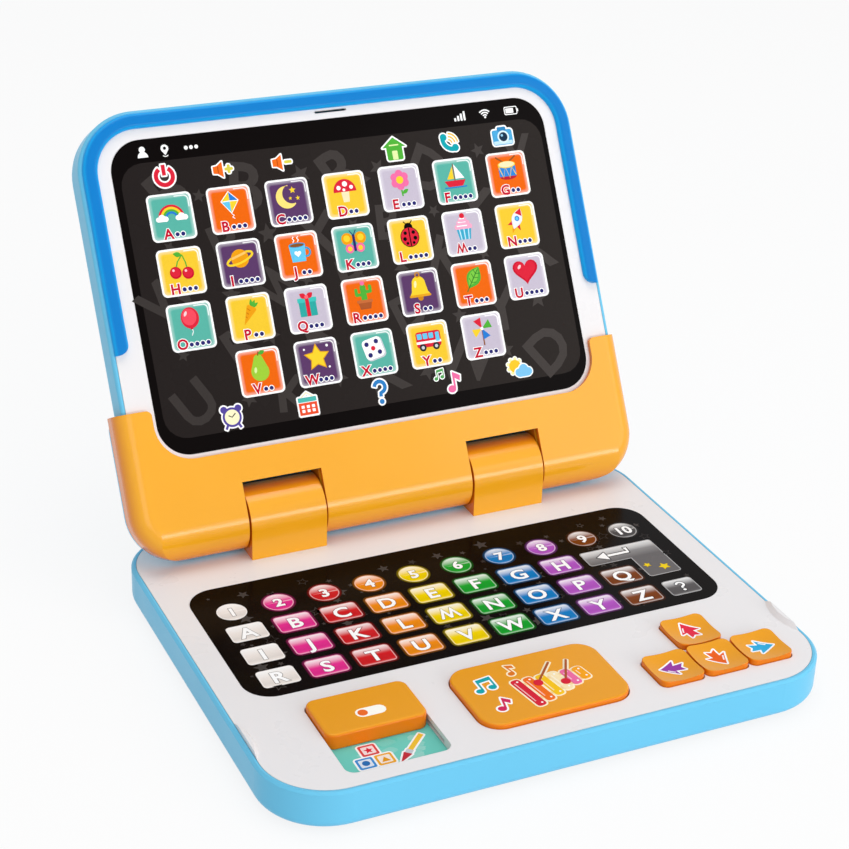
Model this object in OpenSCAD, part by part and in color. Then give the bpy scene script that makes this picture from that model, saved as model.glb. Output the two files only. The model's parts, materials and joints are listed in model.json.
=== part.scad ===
// Toy laptop computer: hinged lid with a printed screen, press buttons and a mode slider.
// Origin: centre of the base on the table plane. +X is the player's right, +Y the hinge side.

/* [Base] */
// Overall width of the base
base_w = 240; // [220:1:260]
// Overall depth of the base
base_d = 200; // [196:1:215]
// Corner radius of the base seen from above
base_corner = 28; // [24:1:32]
// Height of the bottom case from its floor to its rim
case_h = 16.5; // [16.5:0.5:20]
// Wall thickness of the bottom case
case_wall = 2; // [1.6:0.1:2.4]
// Floor thickness of the bottom case
case_floor = 2; // [1.6:0.1:2.2]
// Rounding of the lower outside edge
case_round = 4; // [2:0.5:4]
// Bevel on the top outside edge of the rim
rim_bevel = 1; // [0.8:0.1:1.5]
// Thickness of the deck
deck_t = 2; // [1.8:0.1:2.4]
// Depth of the skirt below the deck
skirt_h = 3; // [2:0.5:4]
// Wall thickness of the skirt
skirt_wall = 1.6; // [1.2:0.1:2]
// Length of the raised thumb rest at each side of the deck
thumb_len = 25; // [20:1:30]
// Width of a thumb rest
thumb_w = 3.4; // [3:0.1:3.6]
// Height of a thumb rest above the deck
thumb_h = 1.9; // [1.5:0.1:2.1]
// Distance of the thumb rests' middle from the front edge
thumb_from_front = 42; // [38:1:50]

/* [Feet and fasteners] */
// Diameter of a rubber foot
foot_d = 14; // [10:1:16]
// How far a foot stands below the case
foot_proud = 1.5; // [1:0.1:2]
// Depth of the pocket that holds a foot
foot_pocket = 0.8; // [0.5:0.1:1]
// Inset of the feet from both sides of each corner
foot_inset = 22; // [20:1:28]
// Diameter of a screw shank
screw_d = 2.6; // [2.2:0.1:3]
// Diameter of a screw head
screw_head_d = 5; // [4.4:0.1:5.4]
// Height of a screw head
screw_head_h = 1.8; // [1.4:0.1:2]
// Outside diameter of a screw boss
boss_d = 8; // [7.6:0.1:9]
// Depth of the sunk hole for a case screw head
sunk_depth = 3.4; // [3:0.1:3.6]
// Length of a case screw shank
case_screw_l = 9; // [7:0.5:10]
// Inset of the rear case screws from both sides of the corner
case_screw_inset = 14.5; // [13:0.5:16]
// Inset of the middle case screws from the side
side_screw_inset = 10; // [9:0.5:11]
// Distance of the middle case screws from the front edge
side_screw_from_front = 82; // [76:1:90]
// Distance of the front case screws from the sides of the music button
front_screw_gap = 7.2; // [6.8:0.1:7.6]
// Distance of the front case screws from the front edge
front_screw_from_front = 12; // [10:0.5:14]

/* [Keyboard] */
// Distance of the printed keyboard sheet from each side of the base
keys_from_side = 13.3; // [12:0.1:20]
// Distance of the keyboard sheet from the rear edge of the base
keys_from_rear = 51.2; // [50:0.2:56]
// Corner radius of the keyboard sheet
keys_corner = 12; // [10:1:18]
// Distance of the keyboard sheet from the front edge of the base
keys_from_front = 65.6; // [64:0.2:68]
// Thickness of the printed sheet
sheet_t = 0.4; // [0.3:0.05:0.6]
// Thickness of the contact film under a printed sheet
film_t = 0.5; // [0.3:0.05:0.6]
// Margin between a contact film and the edge of its printed sheet
film_margin = 1.5; // [1:0.1:3]

/* [Mode slider] */
// Width of the recess that the slider runs in
slot_w = 42.6; // [38:0.2:44]
// Length of the recess
slot_l = 46.2; // [45.8:0.2:47]
// Depth of the recess floor below the deck top
slot_depth = 4; // [4:0.1:4.4]
// Distance of the recess from the front edge of the base
slot_from_front = 9.4; // [8:0.2:11]
// Distance of the recess's middle from the left side of the base
slot_from_side = 50.8; // [48:0.2:51]
// Corner radius of the recess
slot_corner = 4; // [2:0.1:5]
// Wall thickness of the recess
slot_wall = 1.5; // [1.2:0.1:1.8]
// Length of the slider knob
knob_l = 25; // [22:0.2:25]
// How far the knob stands above the deck
knob_proud = 2.6; // [2:0.1:2.8]
// Wall thickness of the knob
knob_wall = 2; // [1.6:0.1:2.4]
// Edge rounding of the knob
knob_round = 1.2; // [0.6:0.1:1.6]
// Clearance of the knob at each side and at the rear stop
knob_gap = 0.4; // [0.3:0.05:0.6]
// Travel of the slider
knob_travel = 20; // [16:0.5:20]
// Reach of the knob's guide tabs through the recess walls
tab_reach = 4.4; // [4:0.1:5]
// Length of a guide tab
tab_l = 9; // [6:0.5:12]
// Thickness of a guide tab
tab_t = 1.2; // [1:0.1:1.4]

/* [Push buttons] */
// Distance between the music button and the left arrow key
music_side_gap = 12.4; // [12:0.1:17]
// Depth of the music button
music_d = 40.5; // [34:0.5:41]
// Corner radius of the music button
music_corner = 9; // [6:0.5:12]
// Distance of the music button's middle from the front edge of the base
music_from_front = 33.5; // [32:0.5:35]
// Side of a square arrow key
arrow_size = 19.6; // [17:0.1:20]
// Corner radius of an arrow key
arrow_corner = 3; // [2:0.1:4]
// Gap between two neighbouring arrow keys
arrow_gap = 0.9; // [0.8:0.1:1.2]
// Distance of the middle arrow key from the right side of the base
arrow_from_side = 45; // [44:0.5:48]
// Distance of the lower row's middle from the front edge of the base
arrow_from_front = 23.9; // [22:0.1:26]
// How far the corners of an arrow key stand above the deck
arrow_proud = 2.6; // [2.2:0.1:2.7]
// Edge rounding of an arrow key
arrow_round = 0.7; // [0.4:0.1:1]
// Depth of the dish in an arrow key's top
dish_depth = 2; // [1:0.1:2.1]
// Radius of the dish's rim, measured from the middle of the key
dish_rim = 12.6; // [12:0.1:14]
// How far the music button stands above the deck
button_proud = 2; // [1.5:0.1:2.2]
// Edge rounding of the music button
button_round = 1; // [0.4:0.1:1.2]
// Clearance around a button in the deck
button_gap = 0.4; // [0.3:0.05:0.6]
// Least thickness of a button's top
button_skin = 1.4; // [1.2:0.1:1.8]
// Thickness of a button's retaining tabs
button_tab_t = 1; // [0.8:0.1:1.2]
// Reach of a button's retaining tabs under the deck
button_tab_reach = 2; // [1.6:0.1:2.4]
// Width of a button's retaining tab
button_tab_w = 9; // [6:0.5:11]
// Diameter of a button's stem
stem_d = 6; // [5:0.5:8]
// Diameter of a rubber dome
dome_d = 11; // [9:0.5:13]
// Height of a rubber dome
dome_h = 3; // [2.8:0.1:3.4]
// Wall of a rubber dome
dome_wall = 1; // [0.8:0.1:1.2]

/* [Electronics] */
// Distance of the main circuit board from each side of the base
board_from_side = 18; // [17:0.5:19]
// Depth of the main circuit board
board_d = 46; // [44:1:48]
// Thickness of a circuit board
board_t = 1.6; // [1.2:0.1:1.8]
// Height of the posts under the main circuit board
board_post = 2.6; // [2.2:0.1:2.8]
// Distance of the main board's middle from the front edge of the base
board_from_front = 33; // [32:0.5:34]
// Diameter of the potted sound chip
chip_d = 12; // [8:1:16]
// Diameter of the loudspeaker
speaker_d = 40; // [36:1:42]
// Distance of the loudspeaker's middle from the left side of the base
speaker_from_side = 48; // [44:1:52]
// Distance of the loudspeaker's middle from the front edge of the base
speaker_from_front = 126; // [120:1:130]
// Diameter of a loudspeaker grille hole
grille_hole_d = 3; // [2:0.1:3.4]
// Pitch of the grille holes
grille_pitch = 6; // [5:0.1:7]

/* [Batteries] */
// Diameter of a cell
cell_d = 10.5; // [10:0.1:10.6]
// Length of a cell
cell_l = 44.5; // [42:0.1:45]
// Number of cells
cell_count = 3; // [2:1:4]
// Clearance around a cell in its bay
cell_gap = 0.3; // [0.2:0.05:0.4]
// Space for the contact springs at each end of the cells
contact_room = 3; // [2.5:0.1:4]
// Distance of the battery bay's middle from the front edge of the base
bay_from_front = 128; // [124:1:132]
// Wall thickness of the battery bay
bay_wall = 1.4; // [1.2:0.1:1.6]
// Clearance around the battery door
door_gap = 0.3; // [0.2:0.05:0.4]
// Ledge that the battery door closes against
door_ledge = 2.4; // [2:0.1:3]
// Length of the tongue that carries the battery door's screw
door_tongue = 11; // [10:0.5:13]

/* [Hinge] */
// Distance of the hinge axis from the rear edge of the base
hinge_from_rear = 21.2; // [20:0.2:24]
// Height of the hinge axis above the deck
hinge_h = 14; // [13.8:0.1:15]
// Radius of the two knuckles
knuckle_r = 14; // [13:0.1:14]
// Width of a knuckle
knuckle_w = 34.4; // [30:0.2:38]
// Distance of a knuckle's middle from the middle of the base
knuckle_x = 52.6; // [48:0.2:56]
// Clearance between a knuckle and each side of its notch in the lid
knuckle_gap = 0.8; // [0.6:0.1:1.2]
// Reach of the notches from the hinge axis
notch_reach = 14.6; // [14.6:0.1:15.5]
// Diameter of the steel hinge pins
pin_d = 4; // [3:0.1:5]
// Outside diameter of the hollow bush that the lid's lead runs through
bush_d = 9; // [8:0.1:10]
// Wall of the hollow bush
bush_wall = 1.6; // [1.4:0.1:1.8]
// Running clearance of the pins and the bush, on the radius
pin_gap = 0.05; // [0.03:0.01:0.08]
// Thickness of the friction washers
washer_t = 0.6; // [0.4:0.05:0.7]
// Outside diameter of the friction washers
washer_d = 14; // [12:0.5:16]
// Diameter of the lead between the base and the lid
lead_d = 3; // [2:0.1:3.4]

/* [Lid] */
// Inset of the lid's back shell from each side of the base
lid_side_inset = 3.7; // [2:0.1:6]
// Inset of the closed lid's edge from the front edge of the base
lid_front_inset = 1.4; // [0:0.2:5]
// Corner radius of the lid's top corners
lid_corner = 27; // [24:1:30]
// Distance of the lid's white face from the hinge axis plane
face_off = 11.2; // [11:0.1:11.4]
// Thickness of the lid at its top
lid_t = 16; // [15:0.2:18]
// Angle of the open lid's face above the deck plane
open_angle = 60.5; // [55:0.5:75]
// Width of the blue edge around the white face
lid_rim = 1.8; // [1.6:0.1:2]
// Wall thickness of the lid's back
lid_wall = 2; // [1.6:0.1:2.4]
// Thickness of the white face
face_t = 1.6; // [1.4:0.1:2]
// Edge rounding of the lid's front edge
lid_round = 1.7; // [1.2:0.1:1.8]
// Edge rounding of the lid's back edge
back_round = 4; // [3:0.2:5]
// Radius of the barrel around the hinge axis
barrel_r = 13.5; // [13.2:0.1:13.5]
// Distance of the ends of the barrel on the lid's back from the sides of the base
barrel_from_side = 24; // [22:1:30]
// Height above the hinge axis where the barrel's back runs out
barrel_runout = 52; // [45:1:60]
// Clearance of the lid's loose-fitting parts
lid_gap = 0.15; // [0.1:0.01:0.2]
// Distance of the lid screws from the lid's edges
lid_screw_inset = 14; // [13:0.5:16]

/* [Lid cover] */
// Inset of the orange cover at the foot of the lid from each side of the base
cover_side_inset = 0.2; // [0:0.1:0.8]
// Reach of the cover's arms from the hinge axis
cover_reach = 51; // [46:0.5:56]
// Thickness of the cover
cover_t = 2.2; // [2:0.1:2.3]
// Corner radius of the cover's lower corners
cover_corner = 22; // [20:0.5:24]
// Rounding of the cover's sides
cover_round = 8; // [6:0.5:8.5]
// Rounding of the corners where the cover's arms end
arm_round = 2.5; // [2:0.1:4]

/* [Lid bumper] */
// Inset of the bumper from the lid's edge
bumper_inset = 1.5; // [1:0.1:2]
// Width of the bumper
bumper_w = 6.5; // [6:0.1:8]
// How far the bumper stands above the white face
bumper_proud = 2.5; // [2:0.1:2.5]
// Distance of the bumper's ends from the hinge axis
bumper_from = 75.6; // [70:0.2:85]
// Edge rounding of the bumper
bumper_round = 2; // [1.4:0.1:2]

/* [Screen] */
// White margin between the printed screen and each side of the lid
screen_side_margin = 14; // [12.3:0.1:18]
// White margin between the screen and the lid's top edge
screen_top_margin = 12.8; // [11.4:0.2:19]
// Distance of the screen's lower edge from the hinge axis
screen_from = 30; // [29:0.2:32]
// Corner radius of the screen
screen_corner = 14; // [10:0.5:18]
// White margin between the screen and the orange cover
screen_margin = 1.9; // [1.5:0.1:2.5]
// Length of the slot above the screen
mic_l = 15; // [10:0.5:18]
// Width of the slot above the screen
mic_w = 1; // [0.8:0.1:2]
// Distance of the slot from the middle of the lid
mic_x = 0; // [0:0.2:6]
// Distance of the slot above the screen
mic_above = 3.4; // [3:0.1:4]

/* [Hidden] */

$fn = 48;
eps = 0.01;
blue = "#7cc4ea";
deep_blue = "#1e9ae0";
white = "#efeef0";
orange = "#f6a21e";
black = "#1b1616";
teal = "#57b7b0";
metal = "#b9bcc0";
copper = "#c98a4a";
green = "#2f7d4f";
rubber_grey = "#54585c";

// Heights of the base
case_z = foot_proud;
floor_z = case_z + case_floor;
deck_z = case_z + case_h;
under_deck = deck_z - deck_t;
front_y = -base_d / 2;
deck_gap = 0.15;
deck_w = base_w - 2 * case_wall - 2 * deck_gap;
deck_d = base_d - 2 * case_wall - 2 * deck_gap;
deck_corner = base_corner - case_wall - deck_gap;
thumb_y = front_y + thumb_from_front;
thumb_r = (pow(thumb_len / 2, 2) + pow(thumb_w, 2)) / (2 * thumb_w);
edge_band = 6;

// Fits
fit_gap = 0.15;
seat_gap = 0.05;
room = 1;

// Keyboard
keys_w = base_w - 2 * keys_from_side;
keys_d = base_d - keys_from_front - keys_from_rear;
keys_y = front_y + keys_from_front + keys_d / 2;
sheet_proud = 0.1;
film_gap = 0.02;
tail_w = 10;
tail_t = film_t;
tail_slot_w = tail_w + 2;
tail_slot_d = 1.6;
tail_in = 0.4;
plug_d = 5;
plug_h = 4.2;

// Arrow keys and music button
arrow_x = base_w / 2 - arrow_from_side;
arrow_pitch = arrow_size + arrow_gap;
music_w = 2 * (arrow_x - arrow_pitch - arrow_size / 2 - music_side_gap);

// Fasteners
front_screw_x = music_w / 2 + front_screw_gap;
screw_slot_w = 0.7;
screw_slot_depth = 1;
screw_clear = 0.25;
thread_gap = 0.03;
press_gap = 0.02;
boss_z = floor_z + sunk_depth;
boss_seat = 1.2;
boss_gap = 0.2;
foot_gap = 0.1;
case_screws_xy = [for (s = [-1, 1]) each [
    [s * (base_w / 2 - case_screw_inset), base_d / 2 - case_screw_inset],
    [s * (base_w / 2 - side_screw_inset), front_y + side_screw_from_front],
    [s * front_screw_x, front_y + front_screw_from_front]]];
feet_xy = [for (sx = [-1, 1], sy = [-1, 1])
    [sx * (base_w / 2 - foot_inset), sy * (base_d / 2 - foot_inset)]];

// Mode slider
slot_x = base_w / 2 - slot_from_side;
slot_front = front_y + slot_from_front;
slot_rear = slot_front + slot_l;
slot_z = deck_z - slot_depth;
card_t = 0.4;
tub_t = 1.2;
tub_z = slot_z - card_t - tub_t;
knob_w = slot_w - 2 * knob_gap;
knob_y = slot_rear - knob_gap - knob_l / 2;
knob_z = slot_z + 0.2;
tab_z = knob_z + 0.3;
tab_gap = 0.2;
tab_root = 1;
knob_band = 1.9;
wiper_t = 0.4;
wiper_w = 3;
wiper_foot = 1.6;

// Buttons
board_z = floor_z + board_post;
board_top = board_z + board_t;
dome_top = board_top + dome_h;
stem_gap = 0.1;
music_y = front_y + music_from_front;
arrow_low_y = front_y + arrow_from_front;
arrow_up_y = arrow_low_y + arrow_pitch;
arrow_xy = [[arrow_x, arrow_up_y], [arrow_x, arrow_low_y],
    [arrow_x - arrow_pitch, arrow_low_y], [arrow_x + arrow_pitch, arrow_low_y]];
button_tab_z = under_deck - stem_gap - button_tab_t;
button_wall = 2;
button_band = 4;
dome_foot_w = 2;
dome_foot_t = 0.8;
dome_top_wall = 0.6;
dish_r = (dish_rim * dish_rim + dish_depth * dish_depth) / (2 * dish_depth);
music_skin_z = deck_z + button_proud - button_skin;
arrow_skin_z = deck_z + arrow_proud - dish_depth - button_skin;

// Electronics
board_w = base_w - 2 * board_from_side;
board_y = front_y + board_from_front;
board_hole_inset = 5;
board_hole_x = board_w / 2 - board_hole_inset;
board_hole_y = board_d / 2 - board_hole_inset;
board_post_d = 6;
board_screw_l = 5;
chip_x = -22;
chip_y = 8;
chip_t = 0.8;
capacitor_x = 20;
capacitor_y = 14;
capacitor_d = 5;
resistor_x = -40;
resistor_y = 17;
resistor_pitch = 4;
resistor_size = [2, 1.2, 0.6];
lead_plug_w = 8;
board_holes = [for (sx = [-1, 1]) [sx * board_hole_x, board_y + board_hole_y]];
speaker_x = base_w / 2 - speaker_from_side;
speaker_y = front_y + speaker_from_front;
speaker_wall = 1.4;
speaker_ring_h = 4;
speaker_rim_t = 1.6;
speaker_rim_w = 2.4;
speaker_h = 5;
speaker_plate_t = 1;
basket_wall = 0.8;
basket_inset = 3;
cone_inset = 3.2;
cone_rim_t = 0.5;
cone_h = 2.8;
cone_wall = 0.4;
terminal_w = 10;
terminal_d = 3;
terminal_h = 4.4;
terminal_x = 3;
magnet_h = 4;
grille_margin = 5;

// Batteries
cell_pitch = cell_d + cell_gap;
bay_l = cell_l + 2 * contact_room;
bay_d = cell_count * cell_pitch + cell_gap;
bay_y = front_y + bay_from_front;
cell_z = floor_z + cell_gap + cell_d / 2;
bay_top = cell_z + cell_d / 2 + cell_gap;
door_w = bay_l + 2 * door_ledge;
door_d = bay_d + 2 * door_ledge;
door_t = 1.2;
bay_roof = 1;
bay_hole_w = 4;
bay_hole_z = 2;
bay_hole_h = 3;
nub_d = 3.6;
nub_l = 1;
spring_d = 7;
spring_tip_d = 3;
contact_t = 0.5;
contact_gap = 0.3;
tongue_wall = 1.2;
wire_d = 1.4;
wire_out = 6;
wire_z = 3.5;
wire_into = 4;
wire_bend = 3;
tongue_w = 16;
tongue_y = bay_y - door_d / 2 - door_tongue / 2;
door_boss_d = 7.6;
door_boss_h = 3;
door_screw_l = 7;

// Hinge
hinge_y = base_d / 2 - hinge_from_rear;
hinge_z = deck_z + hinge_h;
notch_w = knuckle_w + 2 * knuckle_gap;
notch_wall = 1.4;
cheek_t = 3;
cheek_out = notch_w / 2 + notch_wall + fit_gap + cheek_t;
knuckle_screw_y = 8;
knuckle_screw_l = 9;

lead_x = knuckle_x - knuckle_w / 4;
lead_hole_d = lead_d + 1;
plug_y = board_y + board_d / 2 - 2;

// Lid, in its own frame: y along the lid from the hinge axis, z out of its face
lid_w = base_w - 2 * lid_side_inset;
lid_len = base_d - hinge_from_rear - lid_front_inset;
cover_w = base_w - 2 * cover_side_inset;
barrel_half = base_w / 2 - barrel_from_side;
back_off = face_off - lid_t;
face_w = lid_w - 2 * lid_rim;
face_top = lid_len - lid_rim;
face_low = notch_reach + 3.4;
face_under = face_off - face_t;
cover_face = barrel_r;
sheet_pocket = sheet_t + film_t;
ledge_w = 2;
ledge_t = 1.5;
screen_w = lid_w - 2 * screen_side_margin;
screen_h = lid_len - screen_from - screen_top_margin;
screen_y = screen_from + screen_h / 2;
upper_low = 12;
upper_low_r = 6;
lid_screw_l = 9;
bumper_tip = 1.4;
lid_sunk = 0.8;
lid_band = 5;
face_boss_z = back_off + lid_wall + sunk_depth + fit_gap;
cover_screw_inset = 14;
cover_screw_x = base_w / 2 - cover_screw_inset;
cover_screw_y = 5;
cover_screw_l = 8;
cover_inner_round = 3.5;
cover_band = 9;
notch_back = 1.6;
seat_in = 0.3;
notch_low = 10;
notch_half = 20;
screen_post_d = 5;
screen_board_w = 60;
screen_board_d = 24;
screen_plug_d = 4;
screen_plug_h = 2.4;
screen_hole_d = 2;
screen_board_up = 24;
screen_board_y = upper_low + screen_board_up;
screen_board_z = back_off + lid_wall + 2.5;
board_post_x = screen_board_w / 2 - 4;
board_post_z = -barrel_r + (barrel_r + back_off) * screen_board_y / barrel_runout + lid_wall / 2;
lid_lead_x = 22;
lead_window = 8;
lid_screws_xy = [for (sx = [-1, 1], v = [face_low + lid_screw_inset, lid_len - lid_screw_inset])
    [sx * (lid_w / 2 - lid_screw_inset), v]];

// ---------- general shapes ----------

module round_rect(w, d, r) {
    square([w - 2 * r, d], center = true);
    square([w, d - 2 * r], center = true);
    for (sx = [-1, 1], sy = [-1, 1])
        translate([sx * (w / 2 - r), sy * (d / 2 - r)]) circle(r);
}

module plate(w, d, r, h) linear_extrude(h) round_rect(w, d, r);

// Outline with its own radius at the low y corners and at the high y corners
module outline(w, y0, y1, r0, r1) {
    translate([-w / 2 + r0, y0]) square([w - 2 * r0, r0]);
    translate([-w / 2, y0 + r0]) square([w, y1 - r1 - y0 - r0]);
    translate([-w / 2 + r1, y1 - r1]) square([w - 2 * r1, r1]);
    for (s = [-1, 1]) {
        translate([s * (w / 2 - r0), y0 + r0]) circle(r0);
        translate([s * (w / 2 - r1), y1 - r1]) circle(r1);
    }
}

// Body with the outline above whose edge section is the child shape.
// The child lies between x = -band and x = 0, where x = 0 is the outer edge.
module moulded(w, y0, y1, r0, r1, band, z0, z1) {
    translate([0, 0, z0]) linear_extrude(z1 - z0) outline(w - 2 * band + eps, y0 + band - eps / 2,
        y1 - band + eps / 2, r0 - band + eps / 2, r1 - band + eps / 2);
    for (s = [0, 1]) mirror([s, 0, 0]) {
        translate([w / 2, y1 - r1, 0]) rotate([90, 0, 0]) linear_extrude(y1 - r1 - y0 - r0) children();
        translate([w / 2 - r1, y1 - r1, 0]) rotate_extrude(angle = 90) translate([r1, 0]) children();
        translate([w / 2 - r0, y0 + r0, 0]) rotate([0, 0, -90])
            rotate_extrude(angle = 90) translate([r0, 0]) children();
    }
    translate([-w / 2 + r1, y1, 0]) rotate([90, 0, 90]) linear_extrude(w - 2 * r1) children();
    translate([w / 2 - r0, y0, 0]) rotate([90, 0, -90]) linear_extrude(w - 2 * r0) children();
}

// Edge section between heights z0 and z1 with a rounded low edge and a rounded high edge
module edge_section(band, z0, z1, low_r, high_r) {
    difference() {
        translate([-band, z0]) square([band, z1 - z0]);
        if (low_r > 0) translate([-low_r, z0]) square([2 * low_r, low_r]);
        if (high_r > 0) translate([-high_r, z1 - high_r]) square([2 * high_r, high_r]);
    }
    if (low_r > 0) intersection() {
        translate([-low_r, z0 + low_r]) circle(low_r);
        translate([-band, z0]) square([band, z1 - z0]);
    }
    if (high_r > 0) intersection() {
        translate([-high_r, z1 - high_r]) circle(high_r);
        translate([-band, z0]) square([band, z1 - z0]);
    }
}

module screw(shank_l) {
    cylinder(d = screw_d, h = shank_l + eps);
    translate([0, 0, -screw_head_h]) difference() {
        cylinder(d = screw_head_d, h = screw_head_h);
        for (a = [0, 90]) rotate(a)
            translate([-screw_head_d / 3, -screw_slot_w / 2, -eps])
                cube([screw_head_d * 2 / 3, screw_slot_w, screw_slot_depth]);
    }
}

function unit(v) = v / norm(v);

// Direction of a wire's cross-section at point i: halfway between its two stretches
function wire_dir(p, i) =
    let (back = i > 0 ? unit(p[i] - p[i - 1]) : unit(p[1] - p[0]),
        ahead = i < len(p) - 1 ? unit(p[i + 1] - p[i]) : back)
    unit(back + ahead);

// Carries a ring of directions from one stretch to the next, so the tube doesn't twist
function wire_rings(p, r, sides, i = 0, last = undef) =
    let (along = unit(p[max(i, 1)] - p[max(i, 1) - 1]),
        dir = wire_dir(p, i),
        start = abs(along[2]) < 0.9 ? unit(cross(along, [0, 0, 1])) : unit(cross(along, [0, 1, 0])),
        flat = [for (k = [0 : sides - 1]) let (a = 360 * k / sides)
            r * (cos(a) * start + sin(a) * cross(along, start))],
        from = is_undef(last) ? flat : last,
        ring = [for (v = from) v - along * ((v * dir) / (along * dir))],
        ahead = i < len(p) - 1 ? unit(p[i + 1] - p[i]) : along,
        next = [for (v = ring) v - ahead * (v * ahead)])
    i == len(p) - 1 ? [[for (v = ring) p[i] + v]]
        : concat([[for (v = ring) p[i] + v]], wire_rings(p, r, sides, i + 1, next));

// Round wire through a list of points, as one eight-sided tube
module wire(points, d) {
    sides = 8;
    rings = wire_rings(points, d / 2, sides);
    n = len(rings);
    polyhedron([for (ring = rings) each ring], concat(
        [[for (k = [0 : sides - 1]) k]],
        [[for (k = [sides - 1 : -1 : 0]) (n - 1) * sides + k]],
        [for (i = [0 : n - 2], k = [0 : sides - 1]) let (m = (k + 1) % sides)
            each [[i * sides + k, (i + 1) * sides + k, (i + 1) * sides + m],
                [i * sides + k, (i + 1) * sides + m, i * sides + m]]]));
}

// ---------- base ----------

module base_bottom_case() color(blue) {
    inner_w = base_w - 2 * case_wall;
    inner_d = base_d - 2 * case_wall;
    inner_corner = base_corner - case_wall;
    difference() {
        union() {
            difference() {
                moulded(base_w, -base_d / 2, base_d / 2, base_corner, base_corner, edge_band,
                    case_z, deck_z)
                    case_edge();
                translate([0, 0, floor_z]) plate(inner_w, inner_d, inner_corner, case_h);
            }
            for (p = case_screws_xy) translate([p[0], p[1], floor_z - eps])
                cylinder(d = boss_d, h = boss_z + boss_seat - floor_z);
            for (p = board_holes)
                translate([p[0], p[1], floor_z - eps]) cylinder(d = board_post_d, h = board_post);
            speaker_ring();
            battery_bay();
        }
        for (p = case_screws_xy) translate([p[0], p[1], case_z - eps]) {
            cylinder(d = screw_head_d + 2 * screw_clear, h = sunk_depth + seat_gap);
            cylinder(d = screw_d + 2 * screw_clear, h = case_h);
        }
        for (p = board_holes)
            translate([p[0], p[1], floor_z - room]) cylinder(d = screw_d + 2 * thread_gap, h = case_h);
        for (p = feet_xy) translate([p[0], p[1], case_z - eps])
            cylinder(d = foot_d + 2 * foot_gap, h = foot_pocket + eps);
        grille_holes();
        battery_opening();
    }
}

module case_edge() difference() {
    edge_section(edge_band, case_z, deck_z, case_round, 0);
    translate([0, deck_z]) rotate(45) square(rim_bevel * sqrt(2), center = true);
}

module speaker_ring() translate([-speaker_x, speaker_y, floor_z - eps]) difference() {
    cylinder(d = speaker_d + 2 * (speaker_wall + fit_gap), h = speaker_ring_h);
    translate([0, 0, -room]) cylinder(d = speaker_d + 2 * fit_gap, h = speaker_ring_h + 2 * room);
}

module grille_holes() {
    span = ceil((speaker_d / 2 - grille_margin) / grille_pitch);
    for (i = [-span : span], j = [-span : span])
        if (norm([i, j]) * grille_pitch < speaker_d / 2 - grille_margin)
            translate([-speaker_x + i * grille_pitch, speaker_y + j * grille_pitch, case_z - room])
                cylinder(d = grille_hole_d, h = case_floor + 2 * room, $fn = 20);
}

module battery_bay() {
    outer_l = bay_l + 2 * bay_wall;
    outer_d = bay_d + 2 * bay_wall;
    translate([-outer_l / 2, bay_y - outer_d / 2, floor_z - eps]) difference() {
        cube([outer_l, outer_d, bay_top + bay_roof - floor_z]);
        translate([bay_wall, bay_wall, -room]) cube([bay_l, bay_d, bay_top - floor_z + room]);
        translate([-room, (outer_d - bay_hole_w) / 2, bay_hole_z])
            cube([outer_l + 2 * room, bay_hole_w, bay_hole_h]);
    }
    translate([0, tongue_y, floor_z - eps]) difference() {
        translate([-tongue_w / 2 - tongue_wall, -door_tongue / 2 - tongue_wall, 0])
            cube([tongue_w + 2 * tongue_wall, door_tongue + door_ledge, door_screw_l]);
        translate([0, 0, -room]) cylinder(d = screw_d + 2 * thread_gap, h = door_screw_l + 2 * room);
    }
}

module battery_opening() {
    translate([-bay_l / 2, bay_y - bay_d / 2, case_z - room])
        cube([bay_l, bay_d, case_floor + 2 * room]);
    translate([0, 0, case_z - eps]) linear_extrude(door_t + eps) door_outline(door_gap);
    translate([0, tongue_y, case_z - eps])
        cylinder(d = door_boss_d + 2 * door_gap, h = door_boss_h + door_gap);
    translate([0, tongue_y, case_z])
        cylinder(d = screw_d + 2 * thread_gap, h = door_boss_h + door_screw_l);
}

module door_outline(extra) {
    translate([-door_w / 2 - extra, bay_y - door_d / 2 - extra])
        square([door_w + 2 * extra, door_d + 2 * extra]);
    translate([-tongue_w / 2 - extra, bay_y - door_d / 2 - door_tongue - extra])
        square([tongue_w + 2 * extra, door_tongue + 1]);
}

module base_deck() color(white) difference() {
    union() {
        translate([0, 0, under_deck]) plate(deck_w, deck_d, deck_corner, deck_t);
        skirt();
        thumb_rests();
        mode_tub();
        for (p = case_screws_xy)
            translate([p[0], p[1], boss_z + boss_seat + boss_gap])
                cylinder(d = boss_d, h = under_deck - boss_z - boss_seat - boss_gap + eps);
    }
    translate([0, keys_y, deck_z - sheet_pocket])
        plate(keys_w + 2 * fit_gap, keys_d + 2 * fit_gap, keys_corner + fit_gap, deck_t);
    translate([-tail_slot_w / 2, keys_y - keys_d / 2 + film_margin, under_deck - room])
        cube([tail_slot_w, tail_slot_d, deck_t + 2 * room]);
    slot_cut();
    button_cut([0, music_y], music_w, music_d, music_corner);
    for (p = arrow_xy) button_cut(p, arrow_size, arrow_size, arrow_corner);
    for (p = case_screws_xy)
        translate([p[0], p[1], boss_z]) cylinder(d = screw_d + 2 * thread_gap, h = case_screw_l);
    for (sx = [-1, 1], sy = [-1, 1])
        translate([sx * knuckle_x, hinge_y + sy * knuckle_screw_y, under_deck - room])
            cylinder(d = screw_d + 2 * screw_clear, h = deck_t + 2 * room);
    translate([lead_x, hinge_y, under_deck - room]) cylinder(d = lead_hole_d, h = deck_t + 2 * room);
}

module skirt() translate([0, 0, under_deck - skirt_h]) difference() {
    plate(deck_w, deck_d, deck_corner, skirt_h + eps);
    translate([0, 0, -room]) plate(deck_w - 2 * skirt_wall, deck_d - 2 * skirt_wall,
        deck_corner - skirt_wall, skirt_h + 2 * room);
}

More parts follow.
